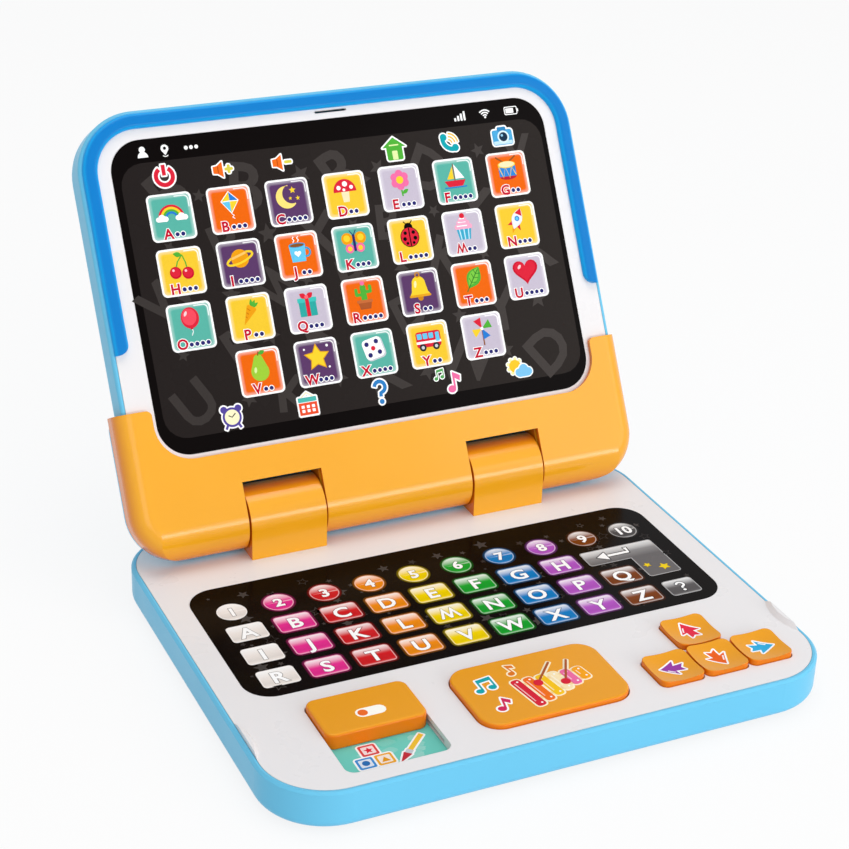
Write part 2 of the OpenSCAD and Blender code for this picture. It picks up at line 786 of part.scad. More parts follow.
// A lens seen from above, with a steep outer side and a sloping inner side
module thumb_rests() {
    root = deck_t / 2;
    slope = thumb_w / 2 / thumb_h;
    for (s = [0, 1]) mirror([s, 0, 0]) translate([deck_w / 2, thumb_y, deck_z - root]) intersection() {
        translate([thumb_r - thumb_w, 0, 0])
            cylinder(r1 = thumb_r + slope * root, r2 = thumb_r - thumb_w / 2, h = root + thumb_h);
        translate([-2 * thumb_w, -thumb_len, 0]) cube([2 * thumb_w, 2 * thumb_len, root + thumb_h]);
    }
}

module mode_tub() translate([-slot_x, (slot_front + slot_rear) / 2, tub_z])
    translate([-slot_w / 2 - slot_wall, -slot_l / 2 - slot_wall, 0])
        cube([slot_w + 2 * slot_wall, slot_l + 2 * slot_wall, deck_z - tub_z - deck_t + eps]);

module slot_cut() translate([-slot_x, slot_front, 0]) {
    translate([0, 0, slot_z - card_t]) linear_extrude(deck_z)
        outline(slot_w, 0, slot_l, slot_corner, slot_corner);
    tab_rear = knob_y - slot_front + tab_l / 2 + tab_gap;
    tab_front = knob_y - slot_front - knob_travel - tab_l / 2 - tab_gap;
    for (s = [-1, 1])
        translate([s * (slot_w / 2 + slot_wall / 2), (tab_rear + tab_front) / 2, tab_z + tab_t / 2])
            cube([slot_wall + 4 * fit_gap, tab_rear - tab_front, tab_t + 2 * tab_gap], center = true);
}

module button_cut(xy, w, d, r) translate([xy[0], xy[1], under_deck - room])
    plate(w + 2 * button_gap, d + 2 * button_gap, r + button_gap, deck_t + 2 * room);

module keyboard_overlay() color(black)
    translate([0, keys_y, deck_z - sheet_t]) plate(keys_w, keys_d, keys_corner, sheet_t + sheet_proud);

module keyboard_contact_film() color(green) translate([0, keys_y, deck_z - sheet_pocket]) {
    plate(keys_w - 2 * film_margin, keys_d - 2 * film_margin, keys_corner - film_margin,
        film_t - film_gap);
    tail_y = -keys_d / 2 + film_margin + tail_in;
    tail_z = board_top + plug_h / 2 - deck_z + sheet_pocket;
    translate([-tail_w / 2, tail_y, tail_z]) cube([tail_w, tail_t, film_t / 2 - tail_z]);
    translate([-tail_w / 2, plug_y - keys_y, tail_z])
        cube([tail_w, tail_y + keys_y - plug_y + tail_t, tail_t]);
}

module mode_window_card() color(teal) translate([-slot_x, slot_front + fit_gap, slot_z - card_t])
    linear_extrude(card_t)
        outline(slot_w - 2 * fit_gap, 0, slot_l - 2 * fit_gap, slot_corner, slot_corner);

module rubber_feet() color(rubber_grey)
    for (p = feet_xy) translate([p[0], p[1], 0])
        cylinder(d = foot_d, h = foot_proud + foot_pocket - seat_gap);

module case_screws() color(metal)
    for (p = case_screws_xy) translate([p[0], p[1], case_z + sunk_depth]) screw(case_screw_l);

// ---------- hinge ----------

module knuckle(hollow) difference() {
    union() {
        translate([0, 0, hinge_z]) rotate([0, 90, 0])
            cylinder(r = knuckle_r, h = knuckle_w, center = true, $fn = 96);
        translate([-knuckle_w / 2, -knuckle_r, deck_z])
            cube([knuckle_w, 2 * knuckle_r, hinge_h]);
    }
    translate([0, 0, hinge_z]) rotate([0, 90, 0])
        cylinder(d = pin_d + 2 * pin_gap, h = knuckle_w + 2 * room, center = true);
    for (sy = [-1, 1]) translate([0, sy * knuckle_screw_y, deck_z - room])
        cylinder(d = screw_d + 2 * thread_gap, h = knuckle_screw_l + room);
    if (hollow) {
        translate([-knuckle_w / 2 - room, 0, hinge_z]) rotate([0, 90, 0])
            cylinder(d = bush_d + 2 * pin_gap, h = knuckle_w / 4 + lead_hole_d / 2 + room);
        translate([-knuckle_w / 4, 0, deck_z - room]) cylinder(d = lead_hole_d, h = hinge_h + room);
    }
}

module hinge_knuckle_left() color(orange) translate([-knuckle_x, hinge_y, 0]) knuckle(false);

module hinge_knuckle_right() color(orange) translate([knuckle_x, hinge_y, 0]) knuckle(true);

module knuckle_screws() color(metal) for (sx = [-1, 1], sy = [-1, 1])
    translate([sx * knuckle_x, hinge_y + sy * knuckle_screw_y, under_deck]) screw(knuckle_screw_l);

module hinge_friction_washers() color(metal) for (s = [-1, 1])
    translate([s * knuckle_x, hinge_y, hinge_z]) rotate([0, 90, 0])
        translate([0, 0, s * (knuckle_w / 2 + washer_t / 2)]) difference() {
            cylinder(d = washer_d, h = washer_t - eps, center = true);
            cylinder(d = pin_d + 4 * fit_gap, h = 2 * washer_t, center = true);
        }

module hinge_pins() color(metal) {
    translate([-knuckle_x, hinge_y, hinge_z]) rotate([0, 90, 0])
        cylinder(d = pin_d, h = 2 * cheek_out, center = true);
    translate([knuckle_x + cheek_out, hinge_y, hinge_z]) rotate([0, -90, 0])
        cylinder(d = pin_d, h = cheek_out + knuckle_w / 6);
}

module hinge_bush() color(white)
    translate([knuckle_x - cheek_out, hinge_y, hinge_z]) rotate([0, 90, 0])
        difference() {
            cylinder(d = bush_d, h = cheek_out - knuckle_w / 4 - lead_d / 2 - knuckle_gap);
            translate([0, 0, -room]) cylinder(d = bush_d - 2 * bush_wall, h = knuckle_w);
        }

// ---------- slider and buttons ----------

module mode_knob() color(orange) translate([-slot_x, knob_y, 0]) {
    top = deck_z + knob_proud;
    difference() {
        moulded(knob_w, -knob_l / 2, knob_l / 2, slot_corner, slot_corner, knob_band, knob_z, top)
            edge_section(knob_band, knob_z, top, 0, knob_round);
        translate([0, 0, knob_z - eps]) linear_extrude(top - knob_z - knob_wall)
            square([knob_w - 2 * knob_wall, knob_l - 2 * knob_wall], center = true);
    }
    for (s = [-1, 1])
        translate([s * (knob_w + tab_reach - tab_root) / 2, 0, tab_z + tab_t / 2])
            cube([tab_reach + tab_root, tab_l, tab_t], center = true);
}

module mode_wiper() color(copper)
    translate([-slot_x - knob_w / 2 - tab_reach + wiper_t / 2, knob_y - wiper_w / 2,
        board_top + stem_gap]) {
        cube([wiper_t, wiper_w, tab_z - board_top - stem_gap]);
        cube([wiper_foot, wiper_w, wiper_t]);
    }

module button(w, d, r, tabs, proud, edge_round, skin_z) {
    top = deck_z + proud;
    band = min(button_band, r - stem_gap);
    difference() {
        moulded(w, -d / 2, d / 2, r, r, band, button_tab_z, top)
            edge_section(band, button_tab_z, top, 0, edge_round);
        translate([0, 0, button_tab_z - eps])
            plate(w - 2 * button_wall, d - 2 * button_wall, max(r - button_wall, button_wall / 4),
                skin_z - button_tab_z);
    }
    translate([0, 0, dome_top + stem_gap]) cylinder(d = stem_d, h = skin_z - dome_top);
    for (t = tabs) {
        half = t[0] != 0 ? w / 2 : d / 2;
        reach = button_gap + button_tab_reach;
        away = half + (reach - tab_root) / 2;
        translate([t[0] * away, t[1] * away, button_tab_z + button_tab_t / 2])
            cube([t[0] != 0 ? reach + tab_root : button_tab_w,
                t[0] != 0 ? button_tab_w : reach + tab_root, button_tab_t], center = true);
    }
}

module music_button() color(orange) translate([0, music_y, 0])
    button(music_w, music_d, music_corner, [[-1, 0], [1, 0], [0, -1], [0, 1]],
        button_proud, button_round, music_skin_z);

// Arrow key with a dished top: the corners stand highest
module arrow_key(i, tabs) color(orange) translate([arrow_xy[i][0], arrow_xy[i][1], 0])
    difference() {
        button(arrow_size, arrow_size, arrow_corner, tabs, arrow_proud, arrow_round,
            arrow_skin_z);
        translate([0, 0, deck_z + arrow_proud - dish_depth + dish_r]) sphere(r = dish_r, $fn = 96);
    }

module arrow_key_up() arrow_key(0, [[-1, 0], [1, 0], [0, 1]]);

module arrow_key_down() arrow_key(1, [[0, -1]]);

module arrow_key_left() arrow_key(2, [[-1, 0], [0, 1], [0, -1]]);

module arrow_key_right() arrow_key(3, [[1, 0], [0, 1], [0, -1]]);

module dome(xy) color(rubber_grey) translate([xy[0], xy[1], board_top]) rotate_extrude()
    polygon([[dome_d / 2 - dome_foot_w, 0], [dome_d / 2, 0], [dome_d / 2, dome_foot_t],
        [stem_d / 2, dome_h], [0, dome_h], [0, dome_h - dome_wall],
        [stem_d / 2 - dome_top_wall, dome_h - dome_wall]]);

module dome_music() dome([0, music_y]);

module dome_up() dome(arrow_xy[0]);

module dome_down() dome(arrow_xy[1]);

module dome_left() dome(arrow_xy[2]);

module dome_right() dome(arrow_xy[3]);

// ---------- electronics ----------

module main_circuit_board() color(green) difference() {
    translate([-board_w / 2, board_y - board_d / 2, board_z]) cube([board_w, board_d, board_t]);
    for (p = case_screws_xy)
        translate([p[0], p[1], board_z - room]) cylinder(d = boss_d + 2 * room, h = board_t + 2 * room);
    for (p = board_holes) translate([p[0], p[1], board_z - room])
        cylinder(d = screw_d + 2 * screw_clear, h = board_t + 2 * room);
}

module board_components() {
    color(white) translate([-tail_slot_w / 2, plug_y - plug_d, board_top])
        cube([tail_slot_w, plug_d, plug_h]);
    color(black) translate([chip_x, board_y + chip_y, board_top]) {
        cylinder(d = chip_d, h = chip_t);
        translate([0, 0, chip_t]) cylinder(d1 = chip_d, d2 = chip_d / 2, h = chip_t, $fn = 32);
    }
    color(white) translate([lead_x - lead_plug_w / 2, plug_y - plug_d, board_top])
        cube([lead_plug_w, plug_d, plug_h]);
    color(black) translate([capacitor_x, board_y + capacitor_y, board_top])
        cylinder(d = capacitor_d, h = capacitor_d);
    color(copper) for (i = [0 : 3])
        translate([resistor_x + i * resistor_pitch, board_y + resistor_y, board_top])
            cube(resistor_size);
}

module board_screws() color(metal)
    for (p = board_holes) translate([p[0], p[1], board_top]) rotate([180, 0, 0]) screw(board_screw_l);

module speaker_frame() color(metal) translate([-speaker_x, speaker_y, floor_z]) {
    r = speaker_d / 2;
    inner = r - basket_inset;
    rotate_extrude() polygon([[r, seat_gap], [r, speaker_rim_t], [r - speaker_rim_w, speaker_rim_t],
        [r / 2, speaker_h], [0, speaker_h], [0, speaker_h - speaker_plate_t],
        [r / 2 - speaker_plate_t, speaker_h - speaker_plate_t], [inner, basket_wall],
        [inner, seat_gap]]);
    translate([-terminal_w / 2, speaker_plate_t - r, speaker_plate_t])
        cube([terminal_w, terminal_d, terminal_h]);
}

module speaker_cone() color(black) translate([-speaker_x, speaker_y, floor_z]) {
    r = speaker_d / 2 - cone_inset;
    inner = r - 2 * cone_wall;
    rotate_extrude() polygon([[r, seat_gap], [r, cone_rim_t], [r / 2, cone_h], [0, cone_h],
        [0, cone_h - cone_wall], [(r - cone_wall) / 2, cone_h - cone_wall], [inner, 2 * seat_gap],
        [inner, seat_gap]]);
}

module speaker_magnet() color(metal)
    translate([-speaker_x, speaker_y, floor_z + speaker_h]) cylinder(d = speaker_d * 0.45, h = magnet_h);

module battery_cells() color(deep_blue) for (i = [0 : cell_count - 1])
    translate([-cell_l / 2, cell_y(i), cell_z]) rotate([0, 90, 0]) {
        cylinder(d = cell_d, h = cell_l - nub_l);
        translate([0, 0, cell_l - nub_l - eps]) cylinder(d = nub_d, h = nub_l + eps);
    }

function cell_y(i) = bay_y + (i - (cell_count - 1) / 2) * cell_pitch;

module battery_contacts() color(metal) for (s = [-1, 1]) {
    translate([s * (bay_l / 2 - contact_gap) - contact_t / 2, bay_y - bay_d / 2 + contact_gap,
        floor_z + contact_t]) cube([contact_t, bay_d - 2 * contact_gap, cell_d]);
    for (i = [0 : cell_count - 1])
        translate([s * (bay_l / 2 - contact_t), cell_y(i), cell_z]) rotate([0, -s * 90, 0])
            cylinder(d1 = spring_d, d2 = spring_tip_d, h = contact_room - contact_t - seat_gap);
}

module base_wiring() {
    z = board_top + wire_d / 2 + seat_gap;
    rear = board_y + board_d / 2;
    color("red") for (s = [-1, 1]) {
        x = s * (bay_l / 2 - seat_gap);
        out = x + s * wire_out;
        wire([[x, bay_y, floor_z + wire_z], [out, bay_y, floor_z + wire_z],
            [out, rear + wire_bend, floor_z + wire_z], [out, rear + room, z],
            [out, rear - wire_into, z]], wire_d);
    }
    color("gold") for (s = [-1, 1])
        wire([[-speaker_x + s * terminal_x, speaker_y - speaker_d / 2 + speaker_plate_t, z],
            [-speaker_x + s * terminal_x, rear - wire_into, z]], wire_d);
    lead_z = board_top + plug_h / 2;
    color(black) wire([[lead_x, plug_y, lead_z], [lead_x, hinge_y, lead_z],
        [lead_x, hinge_y, hinge_z], [knuckle_x - cheek_out, hinge_y, hinge_z]], lead_d);
}

module battery_door() color(blue) difference() {
    union() {
        translate([0, 0, case_z]) linear_extrude(door_t) door_outline(0);
        translate([-bay_l / 2 + door_gap, bay_y - bay_d / 2 + door_gap, case_z])
            cube([bay_l - 2 * door_gap, bay_d - 2 * door_gap, case_floor]);
        translate([0, tongue_y, case_z]) cylinder(d = door_boss_d, h = door_boss_h);
    }
    translate([0, tongue_y, case_z - eps])
        cylinder(d = screw_head_d + 2 * screw_clear, h = door_boss_h - room);
    translate([0, tongue_y, case_z]) cylinder(d = screw_d + 2 * screw_clear, h = door_boss_h + room);
}

module battery_door_screw() color(metal)
    translate([0, tongue_y, case_z + door_boss_h - room - seat_gap]) screw(door_screw_l);

// ---------- lid ----------

module lid_frame() translate([0, hinge_y, hinge_z]) rotate([open_angle, 0, 0]) children();

// Extrudes a section drawn as (along the lid, out of its face) from x0 to x1
module across(x0, x1) translate([x0, 0, 0]) rotate([90, 0, 90]) linear_extrude(x1 - x0) children();

module for_notches() for (s = [-1, 1]) translate([s * knuckle_x, 0, 0]) children();

// Everything inside the barrel's radius, and everything beyond the hinge axis
module barrel_limit(r, y0, y1) {
    circle(r, $fn = 96);
    translate([0, y0]) square([2 * lid_len, y1 - y0]);
}

module back_section(r, back) {
    intersection() {
        circle(r, $fn = 96);
        translate([-r, -r]) square([2 * r, r]);
    }
    polygon([[0, -r], [barrel_runout, back], [barrel_runout, 0], [0, 0]]);
}

module lid_upper_outline(inset, low) outline(lid_w - 2 * inset, low, lid_len - inset,
    upper_low_r - min(inset, upper_low_r - 1), lid_corner - inset);

module lid_body() {
    moulded(lid_w, upper_low, lid_len, upper_low_r, lid_corner, lid_band, back_off, face_off)
        edge_section(lid_band, back_off, face_off, back_round, lid_round);
    intersection() {
        moulded(cover_w, -barrel_r, cover_reach, cover_corner, upper_low_r, lid_band, back_off, -lid_gap)
            edge_section(lid_band, back_off, -lid_gap, back_round, 0);
        across(-cover_w, cover_w) barrel_limit(barrel_r, -lid_len, lid_len);
    }
    across(-barrel_half, barrel_half) back_section(barrel_r, back_off);
}

module lid_hollow() {
    translate([0, 0, back_off + lid_wall]) linear_extrude(lid_t)
        lid_upper_outline(lid_rim, upper_low + lid_rim);
    across(-barrel_half + lid_wall, barrel_half - lid_wall) intersection() {
        back_section(barrel_r - lid_wall, back_off + lid_wall);
        translate([-barrel_r, -barrel_r]) square([barrel_runout + barrel_r - lid_wall, barrel_r + room]);
    }
    translate([0, 0, back_off + lid_wall]) linear_extrude(-back_off)
        outline(cover_w - 4 * lid_wall, -barrel_r + 3 * lid_wall, cover_reach - 2 * lid_wall,
            cover_corner - 3 * lid_wall, lid_wall);
}

module lid_back_shell() color(blue) lid_frame() difference() {
    union() {
        difference() {
            lid_body();
            lid_hollow();
        }
        face_ledge();
        for_notches() for (s = [0, 1]) mirror([s, 0, 0]) cheek();
        for_notches() across(-cheek_out, cheek_out) translate([notch_reach, -notch_low])
            square([notch_back, notch_low + face_under - seat_in]);
        for (p = lid_screws_xy) translate([p[0], p[1], back_off + lid_wall - eps])
            cylinder(d = boss_d, h = sunk_depth);
        for (s = [-1, 1]) translate([s * board_post_x, screen_board_y, board_post_z])
            cylinder(d = screen_post_d, h = screen_board_z - board_post_z);
    }
    for_notches() {
        across(-notch_w / 2, notch_w / 2) notch_round();
        across(cheek_t - cheek_out, cheek_out - cheek_t) notch_square(-lid_gap);
    }
    translate([-knuckle_x - cheek_out - room, 0, 0]) rotate([0, 90, 0])
        cylinder(d = pin_d + 2 * press_gap, h = 2 * (cheek_out + room));
    translate([knuckle_x, 0, 0]) rotate([0, 90, 0])
        cylinder(d = pin_d + 2 * press_gap, h = cheek_out + room);
    translate([knuckle_x - cheek_out - room, 0, 0]) rotate([0, 90, 0])
        cylinder(d = bush_d, h = cheek_out + room);
    for (p = lid_screws_xy) screw_hole(p);
    for (s = [-1, 1]) screw_hole([s * cover_screw_x, cover_screw_y]);
    translate([lid_lead_x - lead_d, upper_low - lead_d, -lead_d])
        cube([2 * lead_d, lead_window, 2 * lead_d]);
}

// Section of the space that a knuckle takes out of the lid, from a height upwards
module notch_square(low) translate([-notch_half, low]) square([notch_half + notch_reach, 2 * notch_half]);

// The same space, whose upper side follows the knuckle round its back
module notch_round() {
    notch_square(0);
    circle(notch_reach, $fn = 96);
    translate([-notch_half, -notch_half]) square([notch_half, 2 * notch_half]);
}

module screw_hole(p) translate([p[0], p[1], back_off - eps]) {
    cylinder(d = screw_head_d + 2 * screw_clear, h = screw_head_h + lid_sunk + seat_gap);
    cylinder(d = screw_d + 2 * screw_clear, h = lid_t / 2);
}

module face_ledge() translate([0, 0, face_under - seat_gap - ledge_t]) linear_extrude(ledge_t)
    difference() {
        lid_upper_outline(lid_rim / 2, upper_low + lid_rim / 2);
        lid_upper_outline(lid_rim + ledge_w, upper_low + lid_rim + ledge_w);
    }

// Wall beside a notch that carries a hinge pin
module cheek() {
    across(notch_w / 2, cheek_out) intersection() {
        back_section(barrel_r, back_off);
        translate([-barrel_r, -barrel_r])
            square([barrel_r + notch_reach + notch_back, barrel_r - lid_gap]);
    }
    across(cheek_out - cheek_t, cheek_out) circle(barrel_r - cover_t - 2 * fit_gap, $fn = 96);
}

module lid_screws() color(metal) lid_frame() {
    for (p = lid_screws_xy)
        translate([p[0], p[1], back_off + screw_head_h + lid_sunk]) screw(lid_screw_l);
    for (s = [-1, 1])
        translate([s * cover_screw_x, cover_screw_y, back_off + screw_head_h + lid_sunk])
            screw(cover_screw_l);
}

module lid_front_bezel() color(white) lid_frame() difference() {
    union() {
        translate([0, 0, face_under]) linear_extrude(face_t) outline(face_w - 2 * lid_gap, face_low,
            face_top - lid_gap, upper_low_r - lid_rim, lid_corner - lid_rim - lid_gap);
        for (p = lid_screws_xy) translate([p[0], p[1], face_boss_z])
            cylinder(d = boss_d - room, h = face_under - face_boss_z + eps);
    }
    translate([0, 0, face_off - sheet_pocket]) linear_extrude(face_t)
        screen_outline(fit_gap);
    translate([mic_x, screen_y + screen_h / 2 + mic_above, face_under - room])
        linear_extrude(face_t + 2 * room) round_rect(mic_l, mic_w, mic_w / 2 - eps);
    translate([-tail_slot_w / 2, screen_from + film_margin, face_under - room])
        cube([tail_slot_w, tail_slot_d, face_t + 2 * room]);
    for (p = lid_screws_xy) translate([p[0], p[1], face_boss_z - room])
        cylinder(d = screw_d + 2 * thread_gap, h = lid_screw_l);
}

module screen_outline(extra) translate([0, screen_y])
    round_rect(screen_w + 2 * extra, screen_h + 2 * extra, screen_corner + extra);

module screen_overlay() color(black) lid_frame()
    translate([0, 0, face_off - sheet_t]) linear_extrude(sheet_t + sheet_proud) screen_outline(0);

module screen_contact_film() color(green) lid_frame() {
    translate([0, 0, face_off - sheet_pocket]) linear_extrude(film_t - film_gap)
        screen_outline(-film_margin);
    tail_z = screen_board_z + board_t + screen_plug_h;
    translate([-tail_w / 2, screen_from + film_margin + tail_in, tail_z])
        cube([tail_w, tail_t, face_off - sheet_pocket - tail_z + film_t / 2]);
}

module screen_board() color(green) lid_frame() difference() {
    union() {
        translate([-screen_board_w / 2, screen_board_y - screen_board_d / 2, screen_board_z])
            cube([screen_board_w, screen_board_d, board_t]);
        translate([-tail_slot_w / 2, screen_from + film_margin - screen_plug_d / 2 + tail_in,
            screen_board_z + board_t - eps]) cube([tail_slot_w, screen_plug_d, screen_plug_h]);
        translate([lid_lead_x - lead_plug_w / 2, screen_board_y - screen_board_d / 2 + tail_in,
            screen_board_z + board_t - eps]) cube([lead_plug_w, plug_d, plug_h]);
    }
    for (s = [-1, 1]) translate([s * board_post_x, screen_board_y, screen_board_z - room])
        cylinder(d = screen_hole_d, h = board_t + 2 * room);
}

module lid_lead() color(black) lid_frame() {
    z = screen_board_z + board_t + plug_h / 2;
    wire([[knuckle_x - cheek_out, 0, 0], [lid_lead_x, 0, 0], [lid_lead_x, upper_low + room, 0],
        [lid_lead_x, upper_low + 2 * lead_d, z],
        [lid_lead_x, screen_board_y - screen_board_d / 2 + tail_in, z]], lead_d);
}

// Half round bar that follows the lid's edge and leaves the middle open
module bumper_band() {
    w = lid_w - 2 * bumper_inset;
    top = lid_len - bumper_inset;
    r = lid_corner - bumper_inset;
    for (s = [0, 1]) mirror([s, 0, 0]) {
        translate([w / 2, top - r, 0]) rotate([90, 0, 0]) linear_extrude(top - r - bumper_from) children();
        translate([w / 2 - r, top - r, 0]) rotate_extrude(angle = 90) translate([r, 0]) children();
    }
    translate([-w / 2 + r, top, 0]) rotate([90, 0, 90]) linear_extrude(w - 2 * r) children();
}

module lid_bumper() color(deep_blue) lid_frame() difference() {
    translate([0, 0, face_off]) bumper_band() intersection() {
        translate([-bumper_w, 0]) square([bumper_w, bumper_proud]);
        union() {
            for (x = [-bumper_round, bumper_round - bumper_w])
                translate([x, bumper_proud - bumper_round]) circle(bumper_round);
            translate([-bumper_w, 0]) square([bumper_w, bumper_proud - bumper_round]);
            translate([bumper_round - bumper_w, 0])
                square([bumper_w - 2 * bumper_round, bumper_proud]);
        }
    }
    end_r = bumper_w - bumper_tip;
    for (s = [0, 1]) mirror([s, 0, 0])
        translate([lid_w / 2 - bumper_inset - bumper_w, bumper_from, face_off - room])
            linear_extrude(bumper_proud + 2 * room) difference() {
                translate([-room, -room]) square([end_r + room, end_r + room]);
                translate([end_r, end_r]) circle(end_r);
            }
}

module cover_solid(inset, round_r, z0, z1) intersection() {
    moulded(cover_w - 2 * inset, -barrel_r + inset, 2 * cover_reach, cover_corner - inset,
        cover_corner / 2, cover_band, z0, z1) edge_section(cover_band, z0, z1, 0, round_r);
    across(-cover_w, cover_w) barrel_limit(barrel_r - inset, -notch_half, notch_half);
}

module lid_cover() color(orange) lid_frame() difference() {
    union() {
        difference() {
            cover_solid(0, cover_round, 0, cover_face);
            cover_solid(cover_t, cover_inner_round, -room, cover_face - cover_t);
        }
        for_notches() for (s = [0, 1]) mirror([s, 0, 0])
            across(notch_w / 2, notch_w / 2 + notch_wall) notch_side();
        for_notches() across(-notch_w / 2, notch_w / 2) translate([notch_reach, face_under + fit_gap])
            square([notch_wall, cover_face - cover_t / 2 - face_under - fit_gap]);
        for (s = [-1, 1]) translate([s * cover_screw_x, cover_screw_y, 0])
            cylinder(d = boss_d - room, h = cover_face - cover_t / 2);
    }
    translate([0, 0, -room]) linear_extrude(cover_face + 2 * room) cover_window();
    for_notches() across(-notch_w / 2, notch_w / 2) notch_square(-notch_half);
    for_notches() rotate([0, 90, 0])
        cylinder(d = pin_d + 4 * fit_gap, h = 2 * cheek_out, center = true);
    translate([knuckle_x - cheek_out, 0, 0]) rotate([0, 90, 0])
        cylinder(d = bush_d + 4 * fit_gap, h = cheek_out);
    for (s = [-1, 1]) translate([s * cover_screw_x, cover_screw_y, -room])
        cylinder(d = screw_d + 2 * thread_gap, h = cover_screw_l);
}

module notch_side() intersection() {
    translate([-barrel_r, 0]) square([barrel_r + notch_reach - fit_gap, cover_face - cover_t / 2]);
    barrel_limit(barrel_r - cover_t / 2, 0, face_under - fit_gap);
}

module cover_window() {
    half = screen_w / 2 + screen_margin;
    outline(2 * half, screen_from - screen_margin, lid_len, screen_corner + screen_margin, arm_round);
    translate([-cover_w, cover_reach]) square([2 * cover_w, lid_len]);
    for (s = [0, 1]) mirror([s, 0]) translate([half, cover_reach]) difference() {
        translate([-room, -arm_round]) square([room + arm_round, arm_round + room]);
        translate([arm_round, -arm_round]) circle(arm_round);
    }
}

base_bottom_case();
base_deck();
keyboard_overlay();
keyboard_contact_film();
mode_window_card();
hinge_knuckle_left();
hinge_knuckle_right();
hinge_friction_washers();
main_circuit_board();
board_components();
board_screws();
speaker_frame();
speaker_cone();
speaker_magnet();
battery_cells();
battery_contacts();
base_wiring();
case_screws();
knuckle_screws();
rubber_feet();
dome_music();
dome_up();
dome_down();
dome_left();
dome_right();
mode_knob();
mode_wiper();
music_button();
arrow_key_up();
arrow_key_down();
arrow_key_left();
arrow_key_right();
battery_door();
battery_door_screw();
lid_back_shell();
lid_front_bezel();
lid_bumper();
lid_cover();
screen_overlay();
screen_contact_film();
screen_board();
lid_screws();
hinge_pins();
hinge_bush();
lid_lead();
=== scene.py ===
"""Looks of a toy laptop computer: finishes, printed artwork, light and camera.

Lengths are metres, except that outlines and places on printed sheets are millimetres.
"""
import json
import random
from functools import cache
from math import atan2, ceil, cos, dist, hypot, pi, radians, remainder, sin

import bmesh
import bpy
from mathutils import Matrix, Vector
from mathutils.bvhtree import BVHTree


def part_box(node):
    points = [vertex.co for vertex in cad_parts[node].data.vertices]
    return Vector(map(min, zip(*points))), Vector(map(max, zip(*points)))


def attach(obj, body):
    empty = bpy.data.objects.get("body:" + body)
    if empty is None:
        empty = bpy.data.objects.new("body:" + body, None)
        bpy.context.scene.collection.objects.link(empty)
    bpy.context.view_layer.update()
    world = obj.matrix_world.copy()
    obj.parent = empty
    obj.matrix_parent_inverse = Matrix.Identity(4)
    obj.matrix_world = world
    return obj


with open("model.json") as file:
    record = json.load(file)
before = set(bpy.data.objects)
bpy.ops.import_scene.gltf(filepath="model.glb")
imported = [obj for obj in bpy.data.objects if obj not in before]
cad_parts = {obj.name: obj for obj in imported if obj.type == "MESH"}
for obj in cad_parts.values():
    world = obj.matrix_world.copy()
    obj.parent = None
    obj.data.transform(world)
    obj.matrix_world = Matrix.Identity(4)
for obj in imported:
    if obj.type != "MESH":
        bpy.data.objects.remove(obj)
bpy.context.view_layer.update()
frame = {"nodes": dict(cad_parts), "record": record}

MM = 0.001
NODES = frame["nodes"]

# ---------- camera ----------

PHOTO_PX = 849
FOCAL_PX = 2020.6
CAMERA_PLACE = (-0.3267, -0.6384, 0.4600)
CAMERA_AZIMUTH = -25.553
CAMERA_ELEVATION = 26.658
CAMERA_ROLL = 1.995
CAMERA_REACH = 20


def placed(name, data, matrix=Matrix()):
    """A new object in the scene."""
    made = bpy.data.objects.new(name, data)
    made.matrix_world = matrix
    bpy.context.scene.collection.objects.link(made)
    return made


def make_camera():
    """The photograph's camera."""
    azimuth, elevation, roll = map(radians, (CAMERA_AZIMUTH, CAMERA_ELEVATION, CAMERA_ROLL))
    reach = cos(elevation)
    ahead = Vector((-sin(azimuth) * reach, cos(azimuth) * reach, -sin(elevation)))
    level = Vector((cos(azimuth), sin(azimuth), 0))
    right = cos(roll) * level + sin(roll) * level.cross(ahead)
    up = right.cross(ahead)
    data = bpy.data.cameras.new("camera")
    data.lens = FOCAL_PX / PHOTO_PX * data.sensor_width
    data.clip_end = CAMERA_REACH
    turn = Matrix((right, up, -ahead)).transposed().to_4x4()
    bpy.context.scene.camera = placed("camera", data, Matrix.Translation(CAMERA_PLACE) @ turn)


make_camera()

# ---------- colours and materials ----------


def ink(code):
    """Linear colour of an sRGB code such as f6a21e. A linear colour stays as it is."""
    if not isinstance(code, str):
        return code
    parts = [int(code[i:i + 2], 16) / 255 for i in (0, 2, 4)]
    return tuple(c / 12.92 if c <= 0.04045 else ((c + 0.055) / 1.055) ** 2.4 for c in parts)


def mix(a, b, share):
    """Colour between a and b."""
    return tuple(x + (y - x) * share for x, y in zip(ink(a), ink(b)))


WHITE = ink("ffffff")
BLACK = ink("000000")
FILM = ink("080404")
SCREEN = ink("231e1d")
GHOST = ink("433e3c")
ORANGE = ink("ea9d14")
# Painted light: a lighter copy of the orange for the cover and knuckles, where more light falls.
PAINTED_LIT_ORANGE = ink("f4aa1c")
# Painted shade: a deeper orange for the sides of orange pieces, which get less light.
PAINTED_SHADE_ORANGE = ink("e67a0a")
LIGHT_BLUE = ink("6cc4e8")
DEEP_BLUE = ink("007bc8")
# Painted highlight: a lighter blue on the bumper's rounded slopes.
PAINTED_HIGHLIGHT_BLUE = ink("10a2ea")
DECK = ink("e9e7e8")
NAVY = ink("2b2a6e")
RED = ink("d8243a")
TEAL = ink("12a3ae")


class Nodes:
    """Short ways to add nodes to a tree."""

    def __init__(self, tree):
        self.tree = tree

    def node(self, kind, inputs=None, **settings):
        made = self.tree.nodes.new(kind)
        for key, value in settings.items():
            setattr(made, key, value)
        for key, value in (inputs or {}).items():
            made.inputs[key].default_value = value
        return made

    def link(self, a, b):
        self.tree.links.new(a, b)


